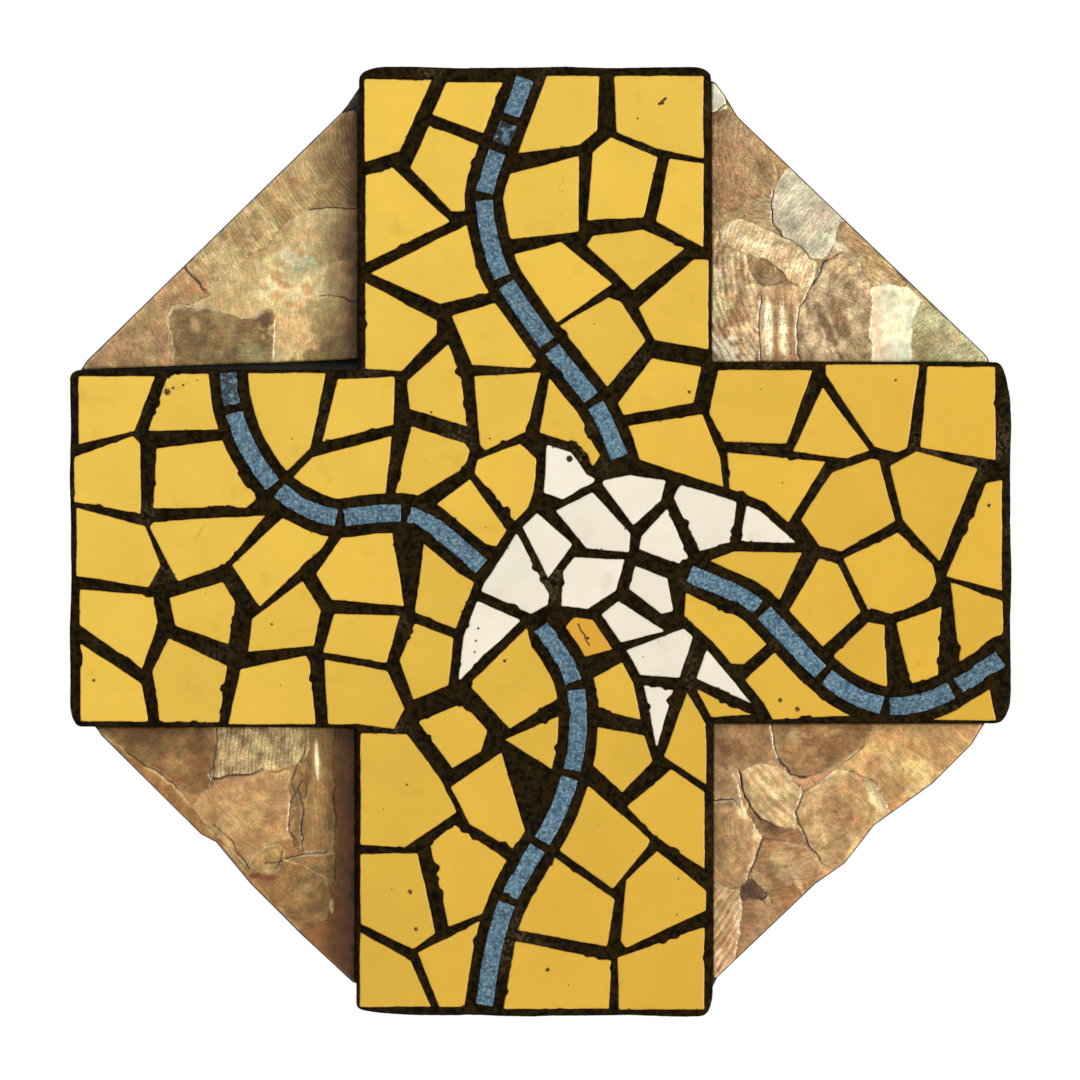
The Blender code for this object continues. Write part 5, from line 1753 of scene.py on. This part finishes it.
    @staticmethod
    def owners(flat: np.ndarray, lines: list[np.ndarray]) -> tuple[np.ndarray, np.ndarray]:
        """The number of the piece that each corner lies on, and its distance from the pieces' edges."""
        far_off = 9.0
        owner = np.zeros(len(flat), int)
        for number, line in enumerate(lines):
            owner[inside(flat, line)] = number
        seams = np.full(len(flat), far_off)
        for number, line in enumerate(lines[1:], 1):
            seams = np.where(owner <= number, np.minimum(seams, distance(flat, line)), seams)
        return owner, seams

    def growth(self, flat: np.ndarray, owner: np.ndarray) -> tuple[np.ndarray, dict[str, np.ndarray]]:
        """How far each corner is lifted, and the values that its ribs and grain are made from."""
        along, across, gain, lift, grain = (np.zeros(len(flat)) for _ in range(5))
        for number, piece in enumerate(self.pieces):
            mine = owner == number
            bend = cloud(flat[mine], 8, 70 + number, 2) * 0.5
            arm = flat[mine] - piece.ribs.hinge
            reach = np.linalg.norm(arm, axis=1)
            along[mine] = (reach + bend) / piece.ribs.pitch
            outward = np.mean(arm, axis=0)
            turn = np.arctan2(arm[:, 1], arm[:, 0]) - math.atan2(outward[1], outward[0])
            across[mine] = ((turn + math.pi) % math.tau - math.pi) * np.median(reach) + 40.0 * number
            gain[mine] = piece.ribs.gain * self.rib_share
            grain[mine] = piece.grain * self.grain_share
            lift[mine] = piece.lift + cloud(flat[mine], 12, 140 + number, 2) * self.relief
        return lift, {"along": along, "across": across, "gain": gain, "grain": grain}


@dataclass(frozen=True)
class SoftLight:
    """A square studio light that faces the plaque's middle."""

    name: str
    place: Triple
    side: float
    watts: float
    tint: Triple

    def build(self) -> None:
        """Puts the light in the scene."""
        lamp = bpy.data.lights.new(self.name, "AREA")
        lamp.size = self.side
        lamp.energy = self.watts
        lamp.color = self.tint
        obj = bpy.data.objects.new(self.name, lamp)
        obj.location = self.place
        obj.rotation_euler = (-Vector(self.place)).to_track_quat("-Z", "Y").to_euler()
        bpy.context.scene.collection.objects.link(obj)


@dataclass
class Studio:
    """The camera, the floor and the light, in metres."""

    camera_away: float = 2.5
    frame_width: float = 0.3432
    aim_height: float = 0.0006
    floor_drop: float = 0.235
    floor_sides: Pair = (-1.2, 1.2)
    floor_ends: Pair = (-1.0, 0.34)
    floor_tones: tuple[Colour, Colour] = ((232, 230, 226), (240, 238, 234))
    sensor: float = 36.0
    far: float = 50.0
    ambient: float = 0.28
    ambient_tint: Triple = (1.0, 0.97, 0.93)
    lights: tuple[SoftLight, ...] = (
        SoftLight("key_right", (1.5, -1.35, 0.05), 0.55, 27.0, (1.0, 0.95, 0.88)),
        SoftLight("fill_upper_left", (-1.1, -1.7, 1.0), 1.3, 17.0, (1.0, 0.97, 0.92)),
        SoftLight("fill_low", (0.2, -1.6, -0.9), 1.2, 4.0, (1.0, 0.97, 0.92)),
        SoftLight("rim_back", (-0.6, 1.6, 1.2), 1.2, 22.0, (0.95, 0.97, 1.0)),
    )

    def build(self) -> None:
        """Sets up the camera, lights, floor and plain white surroundings."""
        face = -front_of("yellow_tiles") * MM
        lens = bpy.data.cameras.new("camera")
        lens.sensor_width = self.sensor
        lens.lens = lens.sensor_width * self.camera_away / self.frame_width
        lens.clip_end = self.far
        camera = bpy.data.objects.new("camera", lens)
        camera.location = (0.0, face - self.camera_away, self.aim_height)
        camera.rotation_euler = (math.pi / 2, 0.0, 0.0)
        bpy.context.scene.collection.objects.link(camera)
        bpy.context.scene.camera = camera
        for light in self.lights:
            light.build()
        self.build_floor()
        self.build_surroundings()
        bpy.context.scene.view_settings.view_transform = "Standard"

    def build_floor(self) -> None:
        """Lays a pale floor below the plaque, which hangs clear of it."""
        mesh = bpy.data.meshes.new("floor")
        (left, right), (near, far) = self.floor_sides, self.floor_ends
        corners = [(left, near), (right, near), (right, far), (left, far)]
        mesh.from_pydata([(x, y, -self.floor_drop) for x, y in corners], [], [(0, 1, 2, 3)])
        bench = Bench("pale_floor")
        colour = bench.mix(bench.patches(30, 4, (0.3, 0.7)), *self.floor_tones)
        mesh.materials.append(bench.coloured(colour, bench.patches(12, 3, (0.3, 0.7), (0.5, 0.6))))
        floor = bpy.data.objects.new("floor", mesh)
        bpy.context.scene.collection.objects.link(floor)

    def build_surroundings(self) -> None:
        """White surroundings that light the plaque more faintly than they show."""
        world = bpy.data.worlds.new("surroundings")
        world.use_nodes = True
        tree = world.node_tree
        backdrop = tree.nodes["Background"]
        backdrop.inputs["Color"].default_value = (1.0, 1.0, 1.0, 1.0)
        backdrop.inputs["Strength"].default_value = 1.0
        ambient = tree.nodes.new("ShaderNodeBackground")
        ambient.inputs["Color"].default_value = (*self.ambient_tint, 1.0)
        ambient.inputs["Strength"].default_value = self.ambient
        path = tree.nodes.new("ShaderNodeLightPath")
        either = tree.nodes.new("ShaderNodeMixShader")
        tree.links.new(path.outputs["Is Camera Ray"], either.inputs[0])
        tree.links.new(ambient.outputs[0], either.inputs[1])
        tree.links.new(backdrop.outputs[0], either.inputs[2])
        tree.links.new(either.outputs[0], tree.nodes["World Output"].inputs["Surface"])
        bpy.context.scene.world = world


def main() -> None:
    """Builds the studio and every piece of the plaque."""
    logging.basicConfig(level=logging.INFO, format="%(name)s: %(message)s")
    Studio().build()
    paint = PaintedBoard().material()
    yellow = TileGlaze("yellow_glaze_satin", pale=(232, 194, 76), deep=(214, 172, 56), body=(158, 104, 30),
                       stain=(200, 158, 52)).material()
    white = TileGlaze("white_glaze_satin", pale=(238, 234, 221), deep=(234, 227, 212), body=(170, 150, 124),
                      stain=(222, 208, 190), stain_share=0.5, dirt=(28, 22, 14)).material()
    Board().build(paint)
    edges = YellowTiles().build(paint, yellow)
    edges += Dove().build(white)
    edges += Streams().build(SpeckledGlaze().material())
    GroutBed().build(SandedGrout().material(), edges)
    shell = LacqueredShell().material()
    ribs = growth_ribs(shell)
    for panel in (
        ShellPanel("top_left", TOP_LEFT_SHELL, TOP_LEFT_BLOOMS, TOP_LEFT_CRACKS, painted_shadow_side=-57.6,
                   painted_shadow_reach=13.0, painted_shadow_least=0.26, warmth=(1.12, 1.08, 0.92), grain_share=0.7),
        ShellPanel("top_right", TOP_RIGHT_SHELL, TOP_RIGHT_BLOOMS, TOP_RIGHT_CRACKS,
                   warmth=(1.16, 1.19, 1.15)),
        ShellPanel("bottom_left", BOTTOM_LEFT_SHELL, BOTTOM_LEFT_BLOOMS, BOTTOM_LEFT_CRACKS,
                   roll=0.8, roll_place=-69.0, painted_shadow_side=-58.4, painted_shadow_reach=13.0, painted_shadow_least=0.35,
                   warmth=(1.10, 1.02, 0.74), grain_share=0.5),
        ShellPanel("bottom_right", BOTTOM_RIGHT_SHELL, BOTTOM_RIGHT_BLOOMS, BOTTOM_RIGHT_CRACKS,
                   warmth=(1.06, 1.04, 0.96), grain_share=0.6),
    ):
        panel.build(shell, ribs)


if __name__ == "__main__":
    main()
